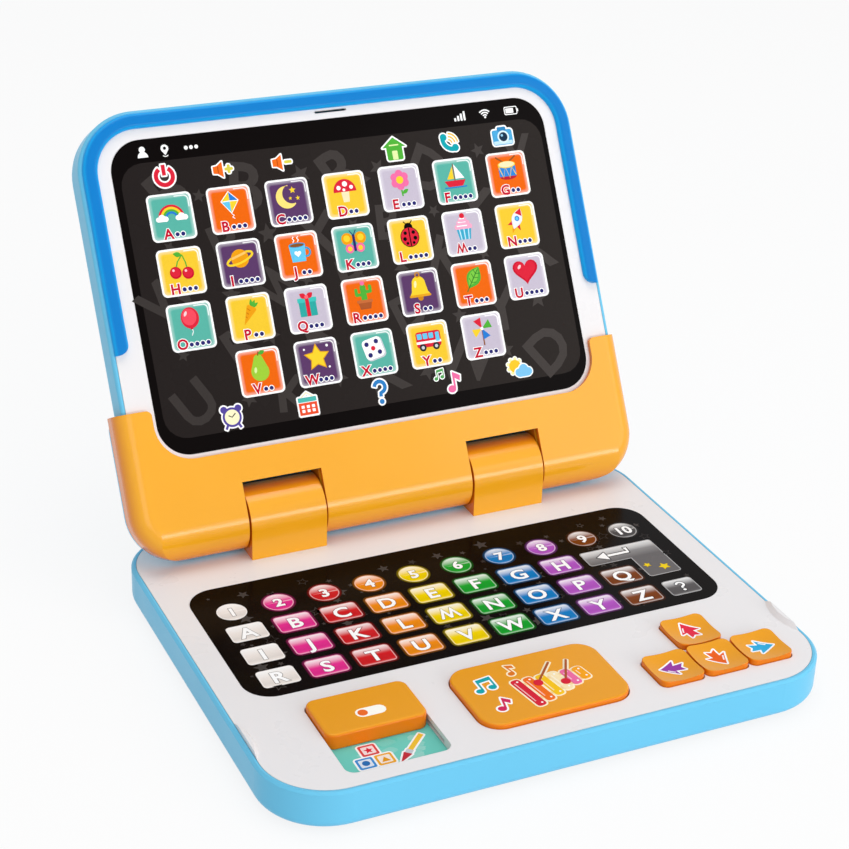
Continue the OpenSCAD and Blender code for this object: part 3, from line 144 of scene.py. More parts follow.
class Finish(Nodes):
    """A material with a Principled shader."""

    def __init__(self, name):
        self.material = bpy.data.materials.new(name)
        self.material.use_nodes = True
        super().__init__(self.material.node_tree)
        self.shader = self.tree.nodes["Principled BSDF"]
        self.place = self.node("ShaderNodeTexCoord").outputs["Object"]

    def constant(self, **values):
        for key, value in values.items():
            self.shader.inputs[key.replace("_", " ")].default_value = value

    def noise(self, scale, detail=2.0, stretch=(1, 1, 1)):
        mapping = self.node("ShaderNodeMapping", {"Scale": stretch})
        made = self.node("ShaderNodeTexNoise", {"Scale": scale, "Detail": detail})
        self.link(self.place, mapping.inputs["Vector"])
        self.link(mapping.outputs["Vector"], made.inputs["Vector"])
        return made.outputs["Fac"]

    def span(self, value, low, high, source=(0.3, 0.7)):
        """The value brought from a source range to the range from low to high."""
        made = self.node("ShaderNodeMapRange", {"From Min": source[0], "From Max": source[1],
                                                "To Min": low, "To Max": high})
        self.link(value, made.inputs["Value"])
        return made.outputs["Result"]

    def blend(self, factor, first, second):
        """Colour between two colours or sockets."""
        made = self.node("ShaderNodeMix", data_type="RGBA")
        for socket, value in ((made.inputs[6], first), (made.inputs[7], second)):
            if isinstance(value, tuple):
                socket.default_value = (*value, 1)
            else:
                self.link(value, socket)
        self.link(factor, made.inputs["Factor"])
        return made.outputs[2]

    def surface(self, height, strength, depth, edge):
        """Bump of the surface, over edges that a mould leaves slightly round."""
        made = self.node("ShaderNodeBump", {"Strength": strength, "Distance": depth})
        self.link(height, made.inputs["Height"])
        if edge:
            soft = self.node("ShaderNodeBevel", {"Radius": edge}, samples=4)
            self.link(soft.outputs["Normal"], made.inputs["Normal"])
        self.link(made.outputs["Normal"], self.shader.inputs["Normal"])

    def facing(self, direction, source):
        """Share from 0 to 1 by how far the piece's own surface faces a direction."""
        # The share masks painted shade and highlight.
        made = self.node("ShaderNodeVectorMath", {1: direction}, operation="DOT_PRODUCT")
        self.link(self.node("ShaderNodeTexCoord").outputs["Normal"], made.inputs[0])
        return self.span(made.outputs["Value"], 0, 1, source)


PRINT_GLOSS = {"Specular_IOR_Level": 0.03, "Coat_Weight": 0.02, "Coat_Roughness": 0.08}


def finish(name, colour, roughness, tone, wear, grain, bump, painted_shading=None, **gloss):
    """Base colour and roughness that vary slightly over a fine bump.

    grain is the bump's noise, and bump its strength, depth and edge. aside is painted shade and
    highlight: a second colour for faces turned away from a direction, that direction, and two
    cosines between which the colours meet.
    """
    made = Finish(name)
    darker = tuple(c * (1 - tone) for c in colour)
    base = made.blend(made.span(made.noise(14), 0, 1), darker, colour)
    # Painted shade and highlight: another colour where the surface turns away from a direction.
    if painted_shading:
        base = made.blend(made.facing(*painted_shading[1:]), painted_shading[0], base)
    made.link(base, made.shader.inputs["Base Color"])
    made.link(made.span(made.noise(55, 4), roughness, roughness + wear),
              made.shader.inputs["Roughness"])
    made.surface(made.noise(*grain), *bump)
    made.constant(**gloss)
    return made.material


def moulded(name, colour, roughness=0.26, level=0.22, edge=0.3 * MM, tone=0.04, painted_shading=None,
            coat=0.04):
    """Injection-moulded plastic: a faint orange peel, soft edges and a little handling wear."""
    return finish(name, colour, roughness, tone, 0.08, (420, 3), (0.05, 0.2 * MM, edge), painted_shading,
                  Specular_IOR_Level=level, Coat_Weight=coat, Coat_Roughness=0.12)


def metal(name, colour):
    return finish(name, colour, 0.28, 0.12, 0.14, (300, 3, (1, 1, 6)), (0.12, 0.1 * MM, 0),
                  Metallic=1.0)


def rubber(name, colour):
    return finish(name, colour, 0.62, 0.15, 0.2, (700, 4), (0.25, 0.15 * MM, 0.2 * MM))


def film(name, colour):
    """Glossy printed film with faint waves from the cells under it."""
    return finish(name, colour, 0.18, 0.1, 0.08, (45, 2), (0.02, 0.3 * MM, 0), **PRINT_GLOSS)


def laminate(name, colour):
    """Lacquered circuit board with faint tracks under the lacquer."""
    made = Finish(name)
    waves = made.node("ShaderNodeTexWave", {"Scale": 90, "Distortion": 12}, wave_type="BANDS",
                      bands_direction="DIAGONAL")
    made.link(made.place, waves.inputs["Vector"])
    tracks = made.span(waves.outputs["Fac"], 0, 1, (0.55, 0.6))
    lacquered = made.blend(tracks, colour, mix(colour, WHITE, 0.12))
    made.link(lacquered, made.shader.inputs["Base Color"])
    made.surface(tracks, 0.2, 0.05 * MM, 0)
    made.constant(Roughness=0.35)
    return made.material


def print_ink():
    """Printed ink whose colour is stored in the mesh, under a clear film."""
    made = Finish("printed ink")
    colour = made.node("ShaderNodeAttribute", attribute_name="Ink")
    grain = made.span(made.noise(1600, 2), 0, 0.05)
    made.link(made.blend(grain, colour.outputs["Color"], BLACK), made.shader.inputs["Base Color"])
    made.link(made.span(made.noise(70, 3), 0.22, 0.3), made.shader.inputs["Roughness"])
    made.surface(made.noise(260, 2), 0.02, 0.1 * MM, 0)
    made.constant(**PRINT_GLOSS)
    return made.material


# The direction in which the open lid's face looks.
LID_OPEN = radians(118.4)
LID_FACE = (0, -sin(LID_OPEN), -cos(LID_OPEN))


def orange(name, colour, level, direction, source, coat):
    """Orange plastic with painted shade: deeper in colour where it turns away from a direction."""
    return moulded(name, colour, 0.17, level, painted_shading=(PAINTED_SHADE_ORANGE, direction, source), coat=coat)


MATERIALS = {
    "shell_blue": moulded("shell blue plastic", LIGHT_BLUE, 0.3, 0.14),
    # Painted highlight: a lighter blue where the bumper turns away from the lid's face.
    "bumper_blue": moulded("deep blue plastic", DEEP_BLUE, 0.3, 0.14,
                           painted_shading=(PAINTED_HIGHLIGHT_BLUE, LID_FACE, (0.75, 0.99))),
    "deck_white": moulded("white plastic", DECK, tone=0.02),
    # Painted shade: the keys' sides are a deeper orange, away from the top.
    "orange": orange("orange keys", ORANGE, 0.18, (0, 0, 1), (0.4, 0.95), 0.04),
    "print_black": film("black printed film", FILM),
    "print_teal": film("teal printed card", ink("74d4c6")),
    "contact_film": moulded("contact film", ink("c9cdc4"), 0.25, edge=0),
    "board_green": laminate("green circuit board", ink("1e6b35")),
    "dark_plastic": moulded("dark plastic", ink("26252a"), 0.5, edge=0),
    "white_plastic": moulded("natural acetal", ink("e4e3dd"), 0.4, edge=0),
    "washer_plastic": moulded("washer acetal", ink("dcdacf"), 0.45, edge=0),
    "steel": metal("zinc plated steel", ink("c4c6ca")),
    "cell_jacket": moulded("cell jacket", ink("2f4f9c"), 0.25, edge=0),
    "copper": metal("copper spring", ink("d99a6c")),
    "wire_jacket": moulded("wire jacket", ink("1d1d20"), 0.5, edge=0),
    "rubber": rubber("grey rubber", ink("6a6a6d")),
}
# Painted light and shade: the cover and knuckles are a lighter orange than the keys, and a deeper
# orange where they turn away from the lid's face or the front.
OWN_FINISH = {"lid_cover": orange("orange cover", PAINTED_LIT_ORANGE, 0.3, LID_FACE, (0.05, 0.85), 0.35)}
OWN_FINISH.update({"hinge_knuckle_" + side: orange("orange knuckle " + side, PAINTED_LIT_ORANGE, 0.3,
                                                   (0, -1, 0), (0.1, 0.6), 0.35)
                   for side in ("left", "right")})
INK = print_ink()


def dress_nodes():
    """Gives each CAD node its own finish or the one of its material slot."""
    for part in frame["record"]["subparts"]:
        mesh = NODES[part["node"]].data
        mesh.materials.clear()
        mesh.materials.append(OWN_FINISH.get(part["node"]) or MATERIALS[part["material_slot"]])


dress_nodes()

# ---------- outlines, in millimetres ----------


def turned(points, angle):
    c, s = cos(radians(angle)), sin(radians(angle))
    return [(x * c - y * s, x * s + y * c) for x, y in points]


def moved(points, dx, dy, size=1.0):
    return [(x * size + dx, y * size + dy) for x, y in points]


def arc(cx, cy, radius, start, end, steps=12, flat=1.0):
    """Points along an arc, from one angle to another in degrees."""
    angles = [radians(start + (end - start) * i / steps) for i in range(steps + 1)]
    return [(cx + radius * cos(a), cy + radius * sin(a) * flat) for a in angles]


def disc(radius, flat=1.0, steps=32):
    return arc(0, 0, radius, 0, 360 - 360 / steps, steps - 1, flat)


def corners(radius, steps, *starts):
    """Quarter arcs, each given by its centre and its first angle."""
    return [p for x, y, a in starts for p in arc(x, y, radius, a, a + 90, steps)]


def rounded(w, h, r, steps=5):
    """Rounded rectangle, counterclockwise from its right-hand lower corner."""
    x, y = w / 2 - r, h / 2 - r
    return corners(r, steps, (x, -y, -90), (x, y, 0), (-x, y, 90), (-x, -y, 180))


def star(radius, waist=0.45):
    """A star of five tips, the first of them up."""
    reach = [radius * (waist if i % 2 else 1) for i in range(10)]
    return [(r * sin(pi * i / 5), r * cos(pi * i / 5)) for i, r in enumerate(reach)]


def stroke(path, width):
    """Outline of an open line of that width with square ends."""
    left, right = [], []
    for i, (x, y) in enumerate(path):
        before = path[max(i - 1, 0)]
        after = path[min(i + 1, len(path) - 1)]
        dx, dy = after[0] - before[0], after[1] - before[1]
        reach = width / 2 / hypot(dx, dy)
        left.append((x - dy * reach, y + dx * reach))
        right.append((x + dy * reach, y - dx * reach))
    return right + left[::-1]


def forward(points):
    """The outline in counterclockwise order."""
    area = sum(points[i - 1][0] * y - x * points[i - 1][1] for i, (x, y) in enumerate(points))
    return points if area > 0 else points[::-1]


def grown(points, reach):
    """The outline moved outwards, round its corners, or inwards by a negative reach."""
    made = []
    for i, here in enumerate(points):
        before = Vector(here) - Vector(points[i - 1])
        after = Vector(points[(i + 1) % len(points)]) - Vector(here)
        if before.length < 1e-6 or after.length < 1e-6:
            continue
        start = atan2(-before.x, before.y)
        bend = remainder(atan2(-after.x, after.y) - start, 2 * pi)
        if reach > 0 and bend > 0.3:
            steps = ceil(bend / 0.4)
            turns = [start + bend * k / steps for k in range(steps + 1)]
            made += [(here[0] + reach * cos(a), here[1] + reach * sin(a)) for a in turns]
        else:
            out = reach / max(cos(bend / 2), 0.45)
            made.append((here[0] + out * cos(start + bend / 2),
                         here[1] + out * sin(start + bend / 2)))
    return made


# ---------- printed artwork ----------

LEVEL = 0.01 * MM
RIM_STEP = 0.25
DRAPE_STEP = 1.2 * MM


class Sheet:
    """A flat face that carries printed shapes, measured on it in millimetres from its origin."""

    def __init__(self, origin, across, up):
        normal = Vector(across).cross(Vector(up))
        self.matrix = Matrix((Vector(across), Vector(up), normal)).transposed().to_4x4()
        self.matrix.translation = Vector(origin)
        self.mesh = bmesh.new()
        self.ink = self.mesh.loops.layers.float_color.new("Ink")

    def vertex(self, x, y, height):
        return self.mesh.verts.new(self.matrix @ Vector((x * MM, y * MM, height)))

    def face(self, verts, colours):
        made = self.mesh.faces.new(verts)
        for loop, colour in zip(made.loops, colours):
            loop[self.ink] = (*ink(colour), 1)

    def band(self, outer, inner, outer_colours, inner_colours):
        """Faces between two closed loops with as many points."""
        for i in range(len(outer)):
            j = (i + 1) % len(outer)
            self.face((outer[i], outer[j], inner[j], inner[i]),
                      (outer_colours[i], outer_colours[j], inner_colours[j], inner_colours[i]))

    def wall(self, top, bottom, colours):
        """The underside of a plate and its side faces."""
        self.face(bottom[::-1], colours[::-1])
        self.band(bottom, top, colours, colours)

    def drape(self, node, height):
        """Lays the shapes over a curved top face, each as high above it as above the sheet."""
        mesh = NODES[node].data
        under = BVHTree.FromPolygons([v.co for v in mesh.vertices],
                                     [tuple(p.vertices) for p in mesh.polygons])
        bmesh.ops.triangulate(self.mesh, faces=self.mesh.faces)
        for _ in range(4):
            far = [e for e in self.mesh.edges if e.calc_length() > DRAPE_STEP]
            bmesh.ops.subdivide_edges(self.mesh, edges=far, cuts=1, use_grid_fill=True)
            bmesh.ops.triangulate(self.mesh, faces=self.mesh.faces)
        for v in self.mesh.verts:
            hit = under.ray_cast(Vector((v.co.x, v.co.y, 1)), Vector((0, 0, -1)))[0]
            v.co.z += hit.z - height

    def finish(self, name, body, slot):
        """Turns the shapes into one object."""
        data = bpy.data.meshes.new(name)
        self.mesh.to_mesh(data)
        self.mesh.free()
        data.materials.append(INK)
        made = placed(name, data)
        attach(made, body)


class Pen:
    """Draws on a sheet round one point. Each shape lies one level above the one before it."""

    def __init__(self, sheet, x=0.0, y=0.0, size=1.0, turn=0.0, level=1, field=FILM):
        self.sheet, self.x, self.y, self.size, self.turn = sheet, x, y, size, turn
        self.level, self.field = level, field
        self.spread = self.only = None

    def points(self, outline):
        return moved(turned(outline, self.turn), self.x, self.y, self.size)

    def loops(self, outline):
        made = self.points(outline)
        top = [self.sheet.vertex(x, y, self.level * LEVEL) for x, y in made]
        bottom = [self.sheet.vertex(x, y, -LEVEL) for x, y in made]
        self.level += RIM_STEP if self.spread else 1
        return top, bottom

    def rimmed(self, motif, rim, edge=WHITE, **colours):
        """Draws a motif on a wider copy of itself in one colour."""
        turn = self.turn
        for spread in (rim, None):
            self.spread, self.only = spread, edge
            motif(self, **colours)
            self.turn = turn
            self.level += 1

    def shape(self, outline, colour, rim=0.0, edge=WHITE):
        """A plate of one colour, on a wider plate if it has a rim."""
        outline = forward(outline)
        if self.spread:
            outline, colour, rim = grown(outline, self.spread), self.only, 0
        if rim:
            self.plate(grown(outline, rim), [edge])
        self.plate(outline, [colour])

    def plate(self, outline, colours):
        top, bottom = self.loops(outline)
        colours = colours * (len(top) // len(colours))
        self.sheet.face(top, colours)
        self.sheet.wall(top, bottom, colours)

    def glow(self, outline, inner, outer_colour, inner_colour):
        """A plate that fades from its edge to an inner outline with as many points."""
        height = self.level * LEVEL
        top, bottom = self.loops(outline)
        middle = [self.sheet.vertex(x, y, height) for x, y in self.points(inner)]
        outer, inner = [outer_colour] * len(top), [inner_colour] * len(top)
        self.sheet.face(middle, inner)
        self.sheet.wall(top, bottom, outer)
        self.sheet.band(top, middle, outer, inner)

    def shaded(self, outline, colour, shades):
        """A convex plate whose colour changes from its top, share 0, to its foot, share 1."""
        stops = [(share, mix(colour, tone, part)) for share, tone, part in shades]
        high = max(y for x, y in outline)
        low = min(y for x, y in outline)
        fine = []
        for (start, first), (end, last) in zip(stops, stops[1:]):
            parts = ceil((end - start) / 0.05)
            fine += [(start + (end - start) * k / parts, mix(first, last, k / parts))
                     for k in range(parts)]
        left, right, colours = [], [], []
        for share, colour in fine + [stops[-1]]:
            y = high + (low - high) * min(max(share, 0.004), 0.996)
            cuts = [x0 + (x1 - x0) * (y - y0) / (y1 - y0)
                    for (x0, y0), (x1, y1) in zip(outline, outline[1:] + outline[:1])
                    if (y0 - y) * (y1 - y) < 0]
            left.append((min(cuts), y))
            right.append((max(cuts), y))
            colours.append(colour)
        top, bottom = self.loops(left + right[::-1])
        self.sheet.wall(top, bottom, colours + colours[::-1])
        for i, (a, b) in enumerate(zip(colours, colours[1:])):
            self.sheet.face((top[i], top[i + 1], top[-i - 2], top[-i - 1]), (a, b, b, a))

    def line(self, path, width, colour, rim=0.0, edge=WHITE):
        self.shape(stroke(path, width), colour, rim, edge)

    def ring(self, radius, width, colour, start=0, end=360, x=0.0, y=0.0):
        """An arc drawn as a line. A full circle leaves no gap."""
        self.line(arc(x, y, radius, start, end, 28), width, colour)

    def box(self, w, h, colour, x=0.0, y=0.0, r=0.3):
        self.shape(moved(rounded(w, h, r, 3), x, y), colour)

    def leaf(self, length, width, colour, turn=0.0, x=0.0, y=0.0):
        """A pointed leaf that grows upwards from its place, before its turn."""
        half = [(width / 2 * sin(pi * i / 8), length * i / 8) for i in range(9)]
        outline = half + [(-x, y) for x, y in half[-2:0:-1]]
        self.shape(moved(turned(outline, turn), x, y), colour)

    def glint(self, long, colour, turn, x, y, radius=0.6):
        """A small oval highlight."""
        self.shape(moved(turned(disc(radius, long, 16), turn), x, y), colour)

    def dot(self, radius, colour, x=0.0, y=0.0, rim=0.0, flat=1.0):
        self.shape(moved(disc(radius, flat, 24), x, y), colour, rim)

    def dots(self, colour, *spots):
        """Dots of one colour, each given by its place and radius."""
        for x, y, radius in spots:
            self.dot(radius, colour, x, y)

    def text(self, word, height, colour, bold=0.0, rim=0.0, edge=WHITE, x=0.0):
        """Plain letters or digits, centred, with an even rim round them."""
        if self.spread:
            bold, colour, rim = bold + self.spread, self.only, 0
        if rim:
            self.text(word, height, edge, bold + rim, x=x)
        top = self.level * LEVEL
        self.level += RIM_STEP if self.spread else 1
        faces, places = glyph(word, height, bold)
        spots = self.points([(gx + x, gy) for gx, gy, upper in places])
        made = [self.sheet.vertex(*spot, top if place[2] else -LEVEL)
                for spot, place in zip(spots, places)]
        for face in faces:
            self.sheet.face([made[i] for i in face], [colour] * len(face))


FONT_SIZE = 1.36
TURNED_W = 0.8


@cache
def glyph(word, height, bold):
    """Faces and places of plain letters, made by Blender's own font.

    FONT_SIZE is the font's size for capitals one high. An M is a W turned over and narrowed
    by TURNED_W, because the font's own M doesn't thicken cleanly.
    """
    curve = bpy.data.curves.new("glyph", "FONT")
    curve.body = "W" if word == "M" else word
    curve.size = height * FONT_SIZE
    curve.offset = bold
    curve.extrude = 0.5
    curve.resolution_u = 3
    curve.align_x = "CENTER"
    holder = placed("glyph", curve)
    bpy.context.view_layer.update()
    solid = holder.evaluated_get(bpy.context.evaluated_depsgraph_get())
    mesh = bmesh.new()
    mesh.from_mesh(solid.to_mesh())
    bmesh.ops.remove_doubles(mesh, verts=mesh.verts, dist=1e-4)
    mesh.verts.ensure_lookup_table()
    places = [(v.co.x, v.co.y - height / 2, v.co.z > 0) for v in mesh.verts]
    if word == "M":
        places = [(-TURNED_W * x, -y, upper) for x, y, upper in places]
    faces = [[v.index for v in f.verts] for f in mesh.faces]
    mesh.free()
    bpy.data.objects.remove(holder)
    bpy.data.curves.remove(curve)
    return faces, places


# ---------- keyboard ----------

KEY_PITCH_X = 20.4
KEY_PITCH_Y = 17.2
KEY_FIRST_X = -91.35
KEY_FIRST_Y = 12.1
KEY_W, KEY_H, KEY_R = 15.6, 11.9, 1.8
KEY_GLOW = 1.2
KEY_BORDER = 0.45
DARK_KEY = "5d5a5b"
DIGIT_Y = 28.9
DIGIT_R = 6.3
KEY_COLOURS = ["ece4de", "e5308f", "d21f26", "f08c12", "f3d400", "17a32f", "117dc4", "b556c4",
               "7d3d12", DARK_KEY]
KEY_ROWS = ["ABCDEFGH", "IJKLMNOPQ", "RSTUVWXYZ"]


# Place from top to foot, colour mixed in and its share, for each shade of a glossy key.
KEY_GLOSS = ((0, WHITE, 0.85), (0.12, WHITE, 0.6), (0.3, WHITE, 0.28), (0.42, WHITE, 0.06),
             (0.5, WHITE, 0), (0.8, BLACK, 0.12), (0.93, WHITE, 0), (1, WHITE, 0.25))
BAR_GLOSS = ((0, WHITE, 0.75), (0.3, WHITE, 0.45), (0.5, WHITE, 0.15), (1, WHITE, 0))


def key_shape(pen, outline, colour, glow):
    """One printed key: a halo of its own colour, a light rim and a glossy face."""
    if glow:
        pen.glow(grown(outline, glow), grown(outline, 0.1), FILM, mix(FILM, colour, 0.3))
    pen.shape(outline, mix(colour, WHITE, 0.35))
    pen.shaded(grown(outline, -KEY_BORDER), colour, KEY_GLOSS)


def legend(pen, word, height, colour):
    """White legend with a darker edge. It is a soft grey on the white keys."""
    edge = "8f8a88" if colour == KEY_COLOURS[0] else mix(colour, BLACK, 0.6)
    pen.text(word, height, WHITE, 0.28, 0.27, edge)


def question_icon(pen, colour="2f80c4"):
    pen.line(arc(0, 2.2, 2.5, 170, -50, 12) + [(0.1, -0.5), (0, -2)], 1.7, colour)
    pen.dot(1.15, colour, 0, -4.2)


def draw_keys(sheet):
    for column, colour in enumerate(KEY_COLOURS):
        halo = KEY_GLOW if column else 0
        x = KEY_FIRST_X + column * KEY_PITCH_X
        pen = Pen(sheet, x - 0.7, DIGIT_Y, level=2)
        shade = mix(colour, BLACK, 0.3) if column == 9 else colour
        key_shape(pen, disc(DIGIT_R, 1, 40), shade, halo)
        legend(pen, str(column + 1), 6, colour)
        for row, letters in enumerate(KEY_ROWS):
            if column < len(letters):
                pen = Pen(sheet, x, KEY_FIRST_Y - row * KEY_PITCH_Y, level=2)
                key_shape(pen, rounded(KEY_W, KEY_H, KEY_R), colour, halo)
                legend(pen, letters[column], 7.6, colour)
    draw_return_key(sheet)
    draw_help_key(sheet)


def draw_return_key(sheet):
    """The wide key in the corner, with a return arrow and two small stars."""
    left, right, top = 63.1, 98.6, 17.6
    foot, step, step_foot, r = 6.1, 82.9, -10.5, 1.4
    dark, edge = "6a6768", "2c2a2b"
    pen = Pen(sheet, level=2)
    outline = corners(r, 4, (left + r, foot + r, 180)) + [(step, foot)] + corners(
        r, 4, (step + r, step_foot + r, 180), (right - r, step_foot + r, 270),
        (right - r, top - r, 0), (left + r, top - r, 90))
    pen.shape(outline, mix(dark, WHITE, 0.35))
    pen.shape(grown(outline, -KEY_BORDER), dark)
    bar = rounded(right - left - 2 * KEY_BORDER, top - foot - 2 * KEY_BORDER, 1)
    bar = moved(bar, (left + right) / 2, (top + foot) / 2)
    pen.shaded(bar, dark, BAR_GLOSS)
    arrow = Pen(sheet, 77.5, 12.2, level=6)
    arrow.line([(7, 3), (7, -0.6), (-4, -0.6)], 1.7, WHITE, 0.45, edge)
    arrow.shape([(-3.6, 2.6), (-8.4, -0.6), (-3.6, -3.8)], WHITE, 0.45, edge)
    for x, y, size in ((86.5, -1.5, 1.7), (93, -5, 2.6)):
        Pen(sheet, x, y, turn=14, level=6).shape(star(size, 0.5), "f2d21b", 0.2, "a98a10")


def draw_help_key(sheet):
    pen = Pen(sheet, 91.2, KEY_FIRST_Y - 2 * KEY_PITCH_Y, level=2)
    key_shape(pen, rounded(14.4, KEY_H, KEY_R), DARK_KEY, 0)
    pen.size = 0.66
    pen.rimmed(question_icon, 0.6, mix(DARK_KEY, BLACK, 0.72), colour=WHITE)


def draw_keyboard_stars(sheet, low, high):
    """Faint stars of mixed sizes that don't overlap, some of them only outlines."""
    chance = random.Random(7)
    made = []
    for _ in range(150):
        x, y = chance.uniform(low[0], high[0]), chance.uniform(low[1], high[1])
        size = chance.choice((1, 1.5, 2.1, 2.8, 3.5))
        if all(dist((x, y), spot[:2]) > size + spot[2] for spot in made):
            made.append((x, y, size))
    for x, y, size in made:
        pen = Pen(sheet, x, y, turn=chance.uniform(0, 72))
        pen.shape(star(size), GHOST if chance.random() < 0.6 else mix(FILM, GHOST, 0.6))
        if chance.random() < 0.35 and size > 2:
            pen.shape(star(size - 0.8), FILM)


def face_sheet(node, rough=(0, 0, 1), start=(0, 0, 0)):
    """Sheet on the widest flat face that looks roughly one way, measured from a start point."""
    mesh = NODES[node].data
    facing = {}
    for p in mesh.polygons:
        if p.normal.dot(Vector(rough)) > 0.5:
            key = tuple(round(c, 2) for c in p.normal)
            facing[key] = facing.get(key, Vector()) + p.normal * p.area
    normal = max(facing.values(), key=lambda v: v.length).normalized()
    height = max(v.co.dot(normal) for v in mesh.vertices)
    across = Vector((1, 0, 0))
    start = Vector(start)
    return Sheet(start + normal * (height - start.dot(normal)), across, normal.cross(across))


def print_keyboard():
    low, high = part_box("keyboard_overlay")
    sheet = face_sheet("keyboard_overlay")
    inner = [(corner.x / MM + s * 6, corner.y / MM + s * 5) for corner, s in ((low, 1), (high, -1))]
    draw_keyboard_stars(sheet, *inner)
    draw_keys(sheet)
    sheet.finish("keyboard_print", "base", "print_black")


print_keyboard()

# ---------- pictures on the tiles ----------

YELLOW = "f7d030"
GREEN = "4fae3a"
BLUE = "2a7bd0"
SKY = "63c6ec"
PINK = "ee6ea4"
BROWN = "8a5226"
CREAM = "fbe6b8"
SILVER = "c9ced6"
GOLD = "e0a020"
CRIMSON = "c8102e"
WINE = "b81f33"
BLUSH = "ffc9cf"
CLAY = "a9562b"


def heart_shape(size):
    return [(size * 0.5 * sin(t) ** 3 * 1.1,
             size * 0.034 * (13 * cos(t) - 5 * cos(2 * t) - 2 * cos(3 * t) - cos(4 * t)))
            for t in [pi * 2 * i / 32 for i in range(32)]]


def puff(pen, x, y, size):
    for dx, dy, r in ((-1.7, 0, 1.1), (1.7, 0, 1.2), (0, 0.5, 1.6)):
        pen.dot(r * size, WHITE, x + dx * size, y + dy * size)
    pen.box(3.6 * size, 1.2 * size, WHITE, x, y - 0.5 * size, 0.5 * size)


def rainbow(pen):
    for i, colour in enumerate((RED, YELLOW, GREEN, BLUE, pen.field)):
        pen.shape(arc(0, -2.5, 5.4 - i * 0.9, 0, 180, 18), colour)
    for x in (-4, 4):
        puff(pen, x, -2.6, 0.9)


def kite(pen):
    pen.shape([(0, 5.4), (3.8, 1.4), (0, -3.8), (-3.8, 1.4)], WHITE)
    pen.shape([(0, 5), (0, 1.6), (-3.4, 1.4)], YELLOW)
    pen.shape([(0, 5), (3.4, 1.4), (0, 1.6)], BLUE)
    pen.shape([(0, 1.2), (0, -3.3), (-3.3, 1.1)], SKY)
    pen.shape([(0, 1.2), (3.3, 1.1), (0, -3.3)], YELLOW)
    pen.line([(0, -3.8), (0.9, -4.5), (0.1, -5.1), (1, -5.8)], 0.35, WHITE)


def moon(pen):
    pen.shape(arc(-0.6, 0, 4.6, 75, 320, 20) + arc(1.6, 1.1, 3.9, 288, 106, 16), "fbe07a")
    for x, y, size in ((2.2, 2.6, 1.5), (4, -0.8, 1), (0.8, -0.6, 0.8)):
        pen.shape(moved(star(size), x, y), YELLOW)


def toadstool(pen):
    pen.shape([(-1.3, -5), (1.3, -5), (1.8, 0), (-1.8, 0)], CREAM)
    pen.shape(arc(0, -0.8, 5, 0, 180, 18, 1.05), RED)
    pen.dots(WHITE, (-2.6, 1, 0.9), (0.3, 2.4, 1.1), (2.9, 0.9, 0.8), (-0.4, 0, 0.6))


def flower(pen):
    pen.line([(0, 0), (0.3, -5.6)], 0.7, GREEN)
    pen.leaf(3.4, 1.6, GREEN, -60, 0.2, -4.6)
    for i in range(6):
        x, y = turned([(0, 2.5)], 60 * i)[0]
        pen.dot(1.7, PINK, x, y + 1.2)
    pen.dot(1.6, YELLOW, 0, 1.2)


def boat(pen):
    pen.line([(0, 5.2), (0, -2)], 0.4, BROWN)
    pen.shape([(0.4, 5), (0.4, -1.2), (4.4, -1.2)], WHITE)
    pen.shape([(-0.4, 4), (-0.4, -1.2), (-3.4, -1.2)], YELLOW)
    pen.shape([(-4.8, -1.9), (-3.3, -4.4), (3.3, -4.4), (4.8, -1.9)], RED)
    pen.line([(x / 2, -4.9 + 0.3 * (x % 2)) for x in range(-10, 11)], 0.5, BLUE)


def drum(pen):
    for s in (-1, 1):
        pen.line([(s * 4.6, 5.4), (s * 0.6, 2.6)], 0.6, BROWN)
    pen.dot(3.9, WINE, 0, -3, flat=0.36)
    pen.shape([(-3.9, -3), (3.9, -3), (3.9, 2), (-3.9, 2)], "2f86d6")
    cord = [(-3.8, 1.4), (-2.2, -3.4), (-0.7, 1), (0.7, -3.6), (2.2, 1), (3.8, -2.6)]
    pen.line(cord, 0.45, YELLOW)
    pen.dot(4.1, YELLOW, 0, 2, flat=0.36)
    pen.dot(3.6, CREAM, 0, 2.1, flat=0.34)


def cherries(pen):
    pen.line([(-2.4, -1.6), (-1, 2), (1.2, 4.6)], 0.5, GREEN)
    pen.line([(2.6, -2.2), (2.2, 1.6), (1.2, 4.6)], 0.5, GREEN)
    pen.leaf(3.6, 2, GREEN, 75, 1.2, 4.4)
    for x, y in ((-2.4, -2.2), (2.6, -2.8)):
        pen.dot(2.4, CRIMSON, x, y)
        pen.dot(1.9, RED, x - 0.1, y + 0.2)
        pen.dot(0.5, BLUSH, x - 0.8, y + 1)


def planet(pen):
    pen.turn += 18
    pen.line(arc(0, 0, 5.7, 0, 180, 18, 0.3), 0.9, YELLOW)
    pen.dot(3.7, ORANGE)
    pen.box(6.6, 0.9, "f9c66a", 0, 1.2, 0.4)
    pen.box(6.4, 0.7, "d96c1c", 0, -1.5, 0.3)
    pen.line(arc(0, 0, 5.7, 180, 360, 18, 0.3), 0.9, YELLOW)


def mug(pen):
    rim = "2b9ccf"
    pen.ring(1.7, 0.8, rim, x=3.4, y=-1)
    pen.shape([(-3.6, 2.2), (-3, -4.6), (2.8, -4.6), (3.4, 2.2)], SKY)
    pen.dot(3.5, rim, -0.1, 2.2, flat=0.28)
    pen.dot(3, BROWN, -0.1, 2.1, flat=0.24)
    pen.shape(moved(heart_shape(2.6), -0.2, -1.3), WHITE)
    for x in (-1.5, 0.4):
        pen.line([(x, 3.4), (x + 0.6, 4.2), (x, 5), (x + 0.6, 5.7)], 0.4, WHITE)


